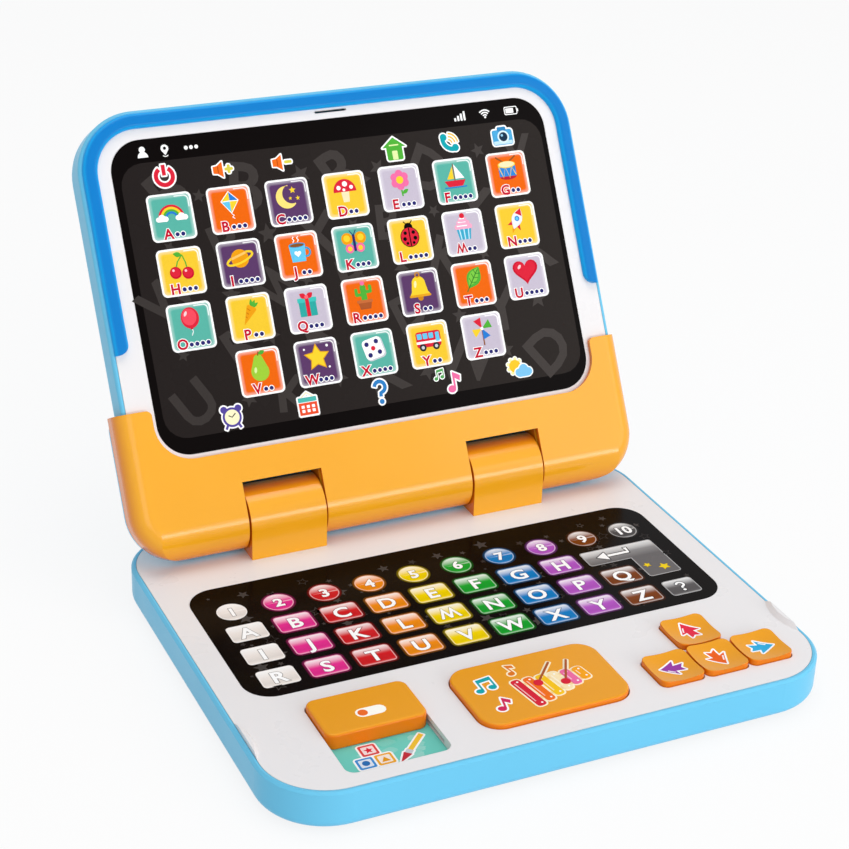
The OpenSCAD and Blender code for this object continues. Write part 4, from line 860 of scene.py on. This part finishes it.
def butterfly(pen):
    for s in (-1, 1):
        for x, y, r, colour in ((2.9, 1.8, 2.5, ORANGE), (2.3, -2.2, 1.9, PINK),
                                (3, 2, 1.4, YELLOW), (2.3, -2.3, 1, YELLOW)):
            pen.dot(r, colour, s * x, y)
        pen.line([(0, 3), (s * 1.4, 5.2)], 0.3, NAVY)
    pen.box(1.1, 7, NAVY, 0, 0, 0.5)


def ladybird(pen):
    pen.dot(1.9, BLACK, 0, 3.2)
    pen.dot(4.2, BLACK, 0, -0.8)
    pen.dot(3.9, RED, 0, -0.8)
    pen.box(0.5, 7.6, BLACK, 0, -0.8, 0.2)
    for s in (-1, 1):
        pen.dots(BLACK, (s * 1.8, 1, 0.75), (s * 2.3, -1.4, 0.8), (s * 1.4, -3.3, 0.6))
        pen.line([(s * 0.8, 4.6), (s * 1.9, 5.8)], 0.35, BLACK)


def cupcake(pen):
    pen.shape([(-3.4, 0), (-2.5, -5), (2.5, -5), (3.4, 0)], "3aa7c9")
    for x in (-1.9, 0, 1.9):
        pen.line([(x * 1.12, 0), (x * 0.85, -5)], 0.5, "bfe7f2")
    for y, w in ((0.4, 8), (2, 6), (3.4, 3.8)):
        pen.box(w, 2, "f7a8c6", 0, y, 0.95)
        pen.box(w * 0.6, 0.5, WHITE, -w * 0.08, y + 0.4, 0.2)
    pen.dot(1.1, RED, 0, 5)


def rocket(pen):
    pen.turn -= 28
    pen.shape([(-0.9, -3), (0, -6), (0.9, -3)], ORANGE)
    for s in (-1, 1):
        pen.shape([(s * 1.2, 0.2), (s * 3.2, -3.4), (s * 1.2, -2.6)], RED)
    pen.leaf(9.6, 4.8, "e9edf2", y=-4)
    pen.shape([(-1.75, 2.6), (1.75, 2.6), (0, 5.6)], RED)
    pen.dot(1.1, BLUE, 0, 0.8)
    pen.dot(0.7, SKY, 0, 0.8)


def balloon(pen):
    pen.line([(0, -2.6), (0.5, -4), (-0.3, -5.6)], 0.3, WHITE)
    pen.shape([(-0.7, -3.2), (0.7, -3.2), (0, -2.1)], WINE)
    pen.dot(3.7, RED, 0, 1.4, flat=1.14)
    pen.dot(3, "ee4a5c", -0.3, 1.8, flat=1.12)
    pen.glint(2, "ffd3d6", -28, -1.6, 3.2, 0.55)


def carrot(pen):
    pen.turn -= 32
    for angle in (-28, 0, 28):
        pen.leaf(3.6, 1.3, GREEN, angle, y=2)
    pen.shape([(-2.1, 2), (-1.6, 2.7), (1.6, 2.7), (2.1, 2), (0, -5.6)], ORANGE)
    for y, w in ((1, 1.6), (-0.6, 1.2), (-2.2, 0.8)):
        pen.line([(-w, y), (0, y - 0.2)], 0.3, "c96a08")


def gift(pen):
    pen.box(7.4, 6, "2fa6a0", 0, -2, 0.3)
    pen.box(8.2, 1.8, "3fc0b8", 0, 1.6, 0.3)
    pen.box(1.6, 7.6, RED, 0, -1.2, 0.1)
    for s in (-1, 1):
        pen.leaf(3.4, 2.2, RED, -s * 55, y=2.4)
    pen.dot(0.8, "ff6b78", 0, 2.9)


def cactus(pen):
    pen.box(2.6, 8, GREEN, 0, 0.6, 1.2)
    for s, y in ((-1, 0.4), (1, 1.4)):
        pen.box(3, 1.3, GREEN, s * 1.9, y, 0.6)
        pen.box(1.4, 3.4, GREEN, s * 3.1, y + 1.1, 0.65)
    pen.shape([(-3, -2.6), (-2.2, -5.6), (2.2, -5.6), (3, -2.6)], CLAY)
    pen.box(6.8, 1.2, "c46a38", 0, -2.4, 0.3)
    pen.dot(0.9, PINK, 0, 5)


def bell(pen):
    brass = "c9871a"
    skirt = [(-3.6, -1.8), (-4.8, -3.6), (4.8, -3.6), (3.6, -1.8)]
    pen.dot(1.2, brass, 0, -4.4)
    pen.shape(arc(0, 1.6, 3, 0, 180, 14) + skirt, YELLOW)
    pen.box(9.6, 1, GOLD, 0, -3.5, 0.45)
    pen.glint(2.4, "fff0b0", -12, -1.5, 1.4)
    pen.ring(0.9, 0.5, brass, y=5.2)


def leaf(pen):
    vein = "2f7d2a"
    pen.turn -= 35
    pen.leaf(10.4, 6.4, GREEN, y=-4.4)
    pen.leaf(8.6, 4, "7cc845", x=-0.3, y=-3.4)
    pen.line([(0, -6), (0, 4.6)], 0.4, vein)
    for y in (-1.6, 0.6, 2.6):
        pen.line([(-1.7, y + 1.2), (0, y), (1.7, y + 1.2)], 0.3, vein)


def heart(pen):
    pen.shape(moved(heart_shape(10.6), 0, 0.4), CRIMSON)
    pen.shape(moved(heart_shape(9), -0.1, 0.6), RED)
    pen.glint(1.8, BLUSH, -40, -2.6, 2.2)


def pear(pen):
    skin = "9ccb3b"
    pen.dot(3.8, skin, 0, -2)
    pen.shape([(-3.2, 0), (3.2, 0), (1.9, 3.4), (-1.9, 3.4)], skin)
    pen.dot(1.95, skin, 0, 3)
    pen.line([(0, 4.4), (0.5, 6)], 0.5, BROWN)
    pen.leaf(3, 1.7, GREEN, -70, 0.3, 5)
    pen.glint(2, "d9efa0", -10, -1.8, -1.2)


def gold_star(pen):
    pen.shape(star(5.8, 0.5), GOLD)
    pen.shape(star(4.9, 0.5), YELLOW)
    pen.dots(WHITE, (4.9, 4.3, 0.54), (-5, 3.8, 0.42), (4.6, -4.4, 0.42))


def die(pen):
    pen.turn += 12
    pen.box(8.8, 8.8, SILVER, 0.3, -0.3, 1.8)
    pen.box(8.4, 8.4, WHITE, -0.1, 0.1, 1.7)
    for x, y in ((-2.3, 2.4), (2.1, 2.4), (-0.1, 0.1), (-2.3, -2.2), (2.1, -2.2)):
        pen.dot(0.95, RED if x == -0.1 else NAVY, x, y)


def bus(pen):
    pen.box(11, 6.6, RED, 0, 0.2, 1.1)
    pen.box(11, 1, WHITE, 0, -1, 0.1)
    for x in (-3.9, -1.3, 1.3):
        pen.box(2.1, 2.3, SKY, x, 1.6, 0.3)
    pen.box(1.7, 3.8, SKY, 4.1, 0.8, 0.3)
    for x in (-3, 3):
        pen.dot(1.5, "2a2a30", x, -3)
        pen.dot(0.7, SILVER, x, -3)


def pinwheel(pen):
    pen.line([(0, 1), (0, -6)], 0.6, BROWN)
    for i, colour in enumerate((RED, YELLOW, BLUE, GREEN)):
        pen.shape(moved(turned([(0, 0), (0, 4.6), (-3.4, 3.4)], 90 * i), 0, 1), colour)
    pen.dot(0.7, WHITE, 0, 1)


# ---------- screen icons ----------


def power_icon(pen):
    pen.ring(3.7, 1.9, RED, 122, 418)
    pen.line([(0, 5), (0, 0.4)], 1.7, RED)


def horn(pen):
    outline = [(-4.8, 1.7), (-4.8, -1.7), (-2.6, -2), (0.2, -4), (0.2, 4), (-2.6, 2)]
    pen.shape(outline, "ee6d1e")
    pen.line([(-2.2, 1.8), (-2.2, -1.8)], 0.5, "c24a10")


MUSTARD = "d9cf4a"


def louder_icon(pen):
    horn(pen)
    pen.box(4.4, 1.5, MUSTARD, 3.3, 0, 0.6)
    pen.box(1.5, 4.4, MUSTARD, 3.3, 0, 0.6)


def softer_icon(pen):
    horn(pen)
    pen.box(4, 1.5, MUSTARD, 3.4, 0, 0.6)


def home_icon(pen):
    pen.box(7.6, 6.4, GREEN, 0, -1.8, 0.8)
    pen.shape([(-5.6, 0.8), (5.6, 0.8), (0, 5.2)], GREEN)
    for w, h, y, r in ((2.6, 4, -2.8, 0.4), (4.6, 0.6, 1.7, 0.2)):
        pen.box(w, h, "dff0a8", 0, y, r)


def phone_icon(pen):
    pen.line(arc(1.6, 1.6, 5.2, 160, 290, 12), 2.4, TEAL)
    pen.dots(TEAL, (-3, 2.8, 1.9), (2.9, -3, 1.9))
    for radius in (2, 3.6, 5.2):
        pen.line(arc(-0.6, -0.6, radius, 5, 85, 8), 0.8, "f2c14a")


def camera_icon(pen):
    pen.box(10, 7, "4aa6d8", 0, -0.6, 1)
    pen.box(4.4, 2, "3187bd", 0, 3.2, 0.6)
    pen.box(9.4, 1.6, "bfe3f4", 0, -3, 0.4)
    pen.dot(2.9, "d8eef8", 0.4, -0.4)
    pen.dot(2.1, "17324a", 0.4, -0.4)
    pen.dot(0.6, "8fc6e4", -0.2, 0.3)


def clock_icon(pen):
    case = "54479c"
    for s in (-1, 1):
        pen.dot(1.6, case, s * 3.4, 3.7)
        pen.line([(s * 2.4, -3), (s * 3.6, -5.2)], 1.1, case)
    pen.dot(4.5, case)
    pen.dot(3.5, "f8f3c8")
    pen.line([(-1.6, 0.9), (0, 0), (1.8, 1.6)], 0.5, "3f3a30")


def calendar_icon(pen):
    pen.line([(-3, 3.4), (0, 5.6), (3, 3.4)], 0.5, CREAM)
    pen.box(9.4, 8.6, WHITE, 0, -0.8, 0.4)
    pen.box(9.2, 2.2, "4db6ae", 0, 2.3, 0.2)
    pen.box(9.2, 5.8, "e8502c", 0, -2, 0.2)
    for i in range(6):
        pen.box(1.5, 1.4, WHITE, -2.6 + 2.6 * (i % 3), -1 - 2 * (i // 3), 0.2)


def note(pen, colour=PINK):
    pen.dot(1.9, colour, -1.3, -3, flat=0.85)
    pen.line([(0.2, -2.8), (0.2, 4)], 0.9, colour)
    pen.shape([(-0.2, 4.6), (3.4, 2.6), (3, 0.2), (0.5, 1.8)], colour)


def double_note(pen, colour):
    for s in (-1, 1):
        pen.dot(1.8, colour, s * 3 - 1.2, -3.2 + 0.5 * s, flat=0.85)
        pen.line([(s * 3 + 0.2, -3 + 0.5 * s), (s * 3 + 0.2, 3.6 + 0.5 * s)], 0.9, colour)
    pen.shape([(-3.2, 3.8), (-3.2, 1.6), (3.6, 2.6), (3.6, 4.8)], colour)


def weather_icon(pen):
    for i in range(9):
        pen.dot(0.9, "fbf2b0", *turned([(3.7, 0)], 40 * i)[0])
    pen.dot(3.2, "f6c62c")


def cloud(pen):
    colour = "7cc4ee"
    pen.dots(colour, (-2.2, 0, 2), (0.6, 1.4, 2.5), (3.2, 0, 1.9))
    pen.box(7.6, 3, colour, 0.5, -0.8, 1.4)


def status_icons(sheet):
    """Small white signs in the dark edge over the screen area."""
    person, pin, dots, bars, waves, cell = [Pen(sheet, x, STATUS_Y, level=3)
                                            for x in (-87.5, -77.6, -65.9, 61, 73.6, 86.8)]
    person.dot(1.35, WHITE, 0, 1.2)
    person.shape(arc(0, -2.2, 2.3, 0, 180, 12, 1.1), WHITE)
    pin.shape(arc(0, 0.7, 1.7, -30, 210, 14) + [(0, -2.2)], WHITE)
    pin.dot(0.7, FILM, 0, 0.8)
    pin.line(arc(0, -1.6, 1.4, 215, 325, 6, 0.8), 0.35, WHITE)
    for x in (-2.3, 0, 2.3):
        dots.dot(0.85, WHITE, x, 0)
    for i in range(4):
        bars.box(0.95, 1.5 + 0.9 * i, WHITE, -2.3 + 1.55 * i, -2.1 + (1.5 + 0.9 * i) / 2, 0.3)
    for radius in (1.3, 2.4, 3.5):
        waves.line(arc(0, -1.9, radius, 45, 135, 8), 0.6, WHITE)
    waves.dot(0.5, WHITE, 0, -1.7)
    cell.box(6.6, 3.8, WHITE, 0, 0, 0.7)
    cell.box(5.8, 3, FILM, 0, 0, 0.4)
    cell.box(3.9, 2.2, WHITE, -0.6, 0, 0.2)
    cell.box(0.5, 1.4, WHITE, 3.6, 0, 0.1)


# ---------- screen ----------

TILE_COLOURS = {"t": "58b0a1", "o": "ea660e", "p": "5a3a66", "y": "f0c633", "l": "c4bbcc"}
TILE_ROWS = [("topylto", (rainbow, kite, moon, toadstool, flower, boat, drum)),
             ("ypotyly", (cherries, planet, mug, butterfly, ladybird, cupcake, rocket)),
             ("tylopol", (balloon, carrot, gift, cactus, bell, leaf, heart)),
             ("optyl", (pear, gold_star, die, bus, pinwheel))]
TILE_W, TILE_H = 19.8, 20.3
TILE_PITCH_X, TILE_PITCH_Y = 26.6, 23.57
TILE_TOP_Y = 130.5
STATUS_Y = 159.1
INNER_LEFT, INNER_RIGHT, INNER_FOOT, INNER_TOP = -99, 100, 37, 154.7
ICONS = [(-79.8, 148, 1, power_icon), (-53.9, 148, 0.87, louder_icon),
         (-26.8, 148, 0.87, softer_icon), (26.7, 148, 1, home_icon), (53.8, 148, 0.87, phone_icon),
         (80.4, 148, 1, camera_icon), (-69.2, 42.6, 0.94, clock_icon),
         (-34.6, 42.6, 0.92, calendar_icon), (-0.4, 42.6, 1, question_icon), (35, 41.6, 1, note)]
TILE_RIM = 1.7
TILE_PICTURE_UP, TILE_PICTURE_SIZE = 2.2, 1.08
TILE_CAPTION_DOWN, TILE_CAPTION_HIGH, TILE_DOT_PITCH = 6.9, 4.5, 2.5
GHOST_PITCH_X, GHOST_PITCH_Y = 21, 22.4


def draw_tile(sheet, x, y, colour, motif, letter, count):
    """A glossy tile with a lit edge, a picture, an initial and a row of dots."""
    pen = Pen(sheet, x, y, level=4)
    pen.shape(rounded(TILE_W, TILE_H, 2.3), WHITE)
    pen.glow(rounded(TILE_W - TILE_RIM, TILE_H - TILE_RIM, 1.6),
             rounded(TILE_W - 4.8, TILE_H - 4.8, 1), mix(colour, WHITE, 0.36), colour)
    corner = (TILE_W / 2 - 3.4, TILE_H / 2 - 3.4)
    pen.line([(2.4, corner[1] + 1.9)] + arc(*corner, 1.9, 90, 0, 6) + [(corner[0] + 1.9, 3.6)],
             0.5, mix(colour, WHITE, 0.8))
    motif(Pen(sheet, x, y + TILE_PICTURE_UP, TILE_PICTURE_SIZE, level=pen.level, field=colour))
    caption = Pen(sheet, x, y - TILE_CAPTION_DOWN, level=pen.level)
    left = -(5 + TILE_DOT_PITCH * count) / 2
    caption.text(letter, TILE_CAPTION_HIGH, "c3122f", 0.19, 0.3, x=left + 2.4)
    for i in range(count):
        caption.dot(0.9, NAVY, left + 6.2 + TILE_DOT_PITCH * i, -0.7, rim=0.36)


def draw_ghosts(sheet):
    """Large faint letters and stars behind the tiles."""
    chance = random.Random(11)
    for row in range(5):
        for column in range(9):
            x = INNER_LEFT + 15 + GHOST_PITCH_X * column + chance.uniform(-4, 4)
            y = INNER_FOOT + 14 + GHOST_PITCH_Y * row + chance.uniform(-3, 3)
            tone = mix(SCREEN, GHOST, 0.65 + 0.35 * column / 8)
            pen = Pen(sheet, x, y, turn=chance.uniform(-35, 35), level=2 + 0.5 * (row % 2))
            if (row + column) % 2:
                pen.shape(star(chance.uniform(2.8, 4.8)), tone)
            else:
                pen.text(chance.choice("BDKMPQRUVWXYZ"), chance.uniform(15, 22), tone, 0.7)


# The open screen's rough direction and the hinge axis, from which places on it are measured.
LID_FACE_UP = (0, -0.87, 0.49)
HINGE_AXIS = (0, 78.8 * MM, 32 * MM)


def print_screen():
    sheet = face_sheet("screen_overlay", LID_FACE_UP, HINGE_AXIS)
    inner = moved(rounded(INNER_RIGHT - INNER_LEFT, INNER_TOP - INNER_FOOT, 10),
                  (INNER_LEFT + INNER_RIGHT) / 2, (INNER_TOP + INNER_FOOT) / 2)
    tones = [mix(SCREEN, "2b2624", (x - INNER_LEFT) / (INNER_RIGHT - INNER_LEFT)) for x, y in inner]
    Pen(sheet).plate(inner, tones)
    draw_ghosts(sheet)
    letters = iter("ABCDEFGHIJKLMNOPQRSTUVWXYZ")
    for row, (colours, motifs) in enumerate(TILE_ROWS):
        for column, (code, motif) in enumerate(zip(colours, motifs)):
            x = TILE_PITCH_X * (column - (len(motifs) - 1) / 2)
            draw_tile(sheet, x, TILE_TOP_Y - TILE_PITCH_Y * row, TILE_COLOURS[code], motif,
                      next(letters), 2 + (row + column) % 3)
    for x, y, size, motif in ICONS:
        Pen(sheet, x, y, size, level=4).rimmed(motif, 0.7)
    Pen(sheet, 29, 46, 0.5, level=4).rimmed(double_note, 0.9, colour="55a85a")
    Pen(sheet, 66, 43.9, 0.9, level=4).rimmed(weather_icon, 0.5)
    Pen(sheet, 69.4, 40.8, 0.9, level=18).rimmed(cloud, 0.6)
    status_icons(sheet)
    sheet.finish("screen_print", "lid", "print_black")


print_screen()

# ---------- prints on the controls ----------

PALE_RIM = "fdf3d2"


def xylophone(pen):
    """A toy xylophone with two beaters."""
    for s in (-1, 1):
        pen.line([(-14.5, s * 5.6), (14.5, s * 2.6)], 1.7, "f6d9a0")
    bars = ("d8243a", "f2711c", "f8c51c", "fbe6b8", "ee6ea4", "f8a51c")
    for i, code in enumerate(bars):
        x, long = 5.1 * i - 12.7, 19 - 2.1 * i
        pen.box(4, long, code, x, 0, 1.3)
        pen.line([(x - 1, long / 2 - 2), (x - 1, 3.5 - long / 2)], 0.5, mix(code, WHITE, 0.5))
        for y in (long / 2 - 1.7, 1.7 - long / 2):
            pen.dot(0.45, WHITE, x + 0.6, y)
    for x, y, turn in ((-5.5, 3.2, -52), (4, -1.6, -38)):
        end = turned([(0, 15)], turn)[0]
        pen.line([(x, y), (x + end[0], y + end[1])], 0.9, CLAY)
        pen.dot(1.9, RED, x, y)


def switch_sign(pen):
    pen.box(12.4, 5.5, "fffdf4", 0, 0, 2.7)
    pen.dot(2, "ef6d2a", -3.3, 0)


def toy_blocks(pen):
    """Three stacked blocks and a brush."""
    for x, y, code in ((-9.2, -2.6, "3f8fd6"), (-2.6, -2.6, "f3ab2c"), (-5.8, 3.6, "dc4a4a")):
        pen.box(5.9, 5.6, code, x, y, 0.6)
        pen.box(4.3, 4, mix(code, WHITE, 0.75), x, y, 0.4)
    pen.shape(moved(star(1.7), -5.8, 3.5), RED)
    pen.dot(1.3, "2c6fb5", -9.2, -2.6)
    pen.shape([(-4.1, -3.9), (-1.1, -3.9), (-2.6, -1.4)], ORANGE)
    pen.line([(13.6, 5.4), (6.4, -1.6)], 1.7, "f3c53c")
    pen.line([(6.9, -1.1), (5.4, -2.6)], 2.3, SILVER)
    pen.shape([(6.5, -3.5), (4.4, -1.5), (1.4, -6.3)], "c8323e")


def arrow_sign(pen, colour):
    """An arrow with swept barbs and a notched tail, pointing up."""
    for side in (1, -1):
        head = [(0, 5), (-4.2 * side, -1.3), (0, -0.4)]
        tail = [(0, 0.5), (-1.5 * side, -0.2), (-2 * side, -4.6), (0, -3.4)]
        for part in (head, tail):
            pen.shape(part[::side], colour)
    if not pen.spread:
        pen.line([(-2.6, -0.1), (-1, 2.3)], 0.6, mix(colour, WHITE, 0.85))


# Way, place, turn in degrees and colour of the arrow on each key.
ARROWS = (("up", 75, -54.4, 12, "e5304a"), ("left", 54.5, -76, 84, "9a3fa6"),
          ("down", 75.4, -76, 192, "ee6420"), ("right", 95.9, -76, -96, "35aee0"))


def print_controls():
    sheet = face_sheet("mode_knob")
    Pen(sheet, -68.6, -60.2).rimmed(switch_sign, 0.01)
    sheet.finish("mode_knob_print", "mode_slider", "orange")

    sheet = face_sheet("mode_window_card")
    chance = random.Random(3)
    for i in range(16):
        blot = [(x * chance.uniform(0.8, 1.2), y * chance.uniform(0.8, 1.2))
                for x, y in disc(chance.uniform(2, 3.6), 0.6, 14)]
        pen = Pen(sheet, chance.uniform(-85, -53), chance.uniform(-87, -68), level=1 + RIM_STEP * i)
        pen.shape(blot, mix("64cdbe", WHITE, chance.uniform(0, 0.22)))
    Pen(sheet, -69, -79, 1.16, level=6).rimmed(toy_blocks, 0.65)
    sheet.finish("mode_card_print", "base", "print_teal")

    sheet = face_sheet("music_button")
    Pen(sheet, 5.5, -69, 1.02, turn=10).rimmed(xylophone, 0.7, PALE_RIM)
    Pen(sheet, -20, -60, 0.95).rimmed(double_note, 0.8, colour=TEAL)
    Pen(sheet, -19.5, -74.5, 0.95, turn=-12).rimmed(note, 0.8, colour="d22a5c")
    Pen(sheet, -7, -54.5, 0.8, turn=14).rimmed(note, 0.8, PALE_RIM, colour="e0761e")
    sheet.finish("music_button_print", "music_key", "orange")

    for way, x, y, turn, code in ARROWS:
        node = "arrow_key_" + way
        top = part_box(node)[1].z
        sheet = Sheet((0, 0, top), (1, 0, 0), (0, 1, 0))
        Pen(sheet, x, y, 1.08, turn=turn).rimmed(arrow_sign, 0.68, colour=code)
        sheet.drape(node, top)
        sheet.finish(node + "_print", way + "_key", "orange")


print_controls()

# ---------- light, floor and background ----------

CENTRE = (0, 0.03, 0.07)
LAMP_COLOUR = (1.0, 0.99, 0.975)
WORLD_COLOUR = (0.95, 0.97, 1, 1)
WORLD_STRENGTH = 0.57
FLOOR_COLOUR = (0.88, 0.88, 0.88, 1)
FLOOR_REACH = 3.0
FLOOR_WHITE_SHARE = 0.85


def lamp(name, place, width, height, power):
    """A soft rectangular light that looks at the object."""
    data = bpy.data.lights.new(name, "AREA")
    data.shape = "RECTANGLE"
    data.size, data.size_y = width, height
    data.energy = power
    data.color = LAMP_COLOUR
    ahead = (Vector(CENTRE) - Vector(place)).normalized()
    turn = ahead.to_track_quat("-Z", "Y").to_matrix().to_4x4()
    placed(name, data, Matrix.Translation(place) @ turn)


def white_when_seen(nodes, shader, output, kind, share=1.0):
    """Shows the camera and reflections that share of plain white, and the rest of the shader."""
    rays = nodes.node("ShaderNodeLightPath").outputs
    seen = rays["Is Camera Ray"]
    for other in ("Is Glossy Ray", "Is Transmission Ray"):
        either = nodes.node("ShaderNodeMath", operation="MAXIMUM")
        nodes.link(seen, either.inputs[0])
        nodes.link(rays[other], either.inputs[1])
        seen = either.outputs[0]
    part = nodes.node("ShaderNodeMath", {1: share}, operation="MULTIPLY")
    nodes.link(seen, part.inputs[0])
    plain = nodes.node(kind, {"Color": (1, 1, 1, 1), "Strength": 1.0})
    choice = nodes.node("ShaderNodeMixShader")
    for i, socket in enumerate((part.outputs[0], shader, plain.outputs[0])):
        nodes.link(socket, choice.inputs[i])
    nodes.link(choice.outputs[0], nodes.tree.nodes[output].inputs["Surface"])


def light_world():
    world = bpy.data.worlds.new("world")
    bpy.context.scene.world = world
    world.use_nodes = True
    tree = world.node_tree
    soft = tree.nodes["Background"]
    soft.inputs["Color"].default_value = WORLD_COLOUR
    soft.inputs["Strength"].default_value = WORLD_STRENGTH
    white_when_seen(Nodes(tree), soft.outputs[0], "World Output", "ShaderNodeBackground")


def lay_floor():
    """A pale floor. It is white to the camera except where the object shades it."""
    data = bpy.data.meshes.new("floor")
    edges = ((-1, -1), (1, -1), (1, 1), (-1, 1))
    data.from_pydata([(x * FLOOR_REACH, y * FLOOR_REACH, 0) for x, y in edges], [], [range(4)])
    made = Finish("floor")
    made.constant(Base_Color=FLOOR_COLOUR, Roughness=0.7, Specular_IOR_Level=0)
    white_when_seen(made, made.shader.outputs[0], "Material Output", "ShaderNodeEmission",
                    FLOOR_WHITE_SHARE)
    data.materials.append(made.material)
    placed("floor", data)


lamp("key light", (-0.7, -1.5, 0.9), 0.9, 0.9, 3.4)
lamp("fill light", (1.2, -1.1, 0.8), 1.1, 1.1, 5)
lamp("top light", (0.1, 0.1, 1.9), 1.2, 1.2, 11.6)
lamp("strip light", (0.5, -1.6, 0.35), 1.3, 0.35, 9)
light_world()
lay_floor()
bpy.context.scene.view_settings.view_transform = "Standard"
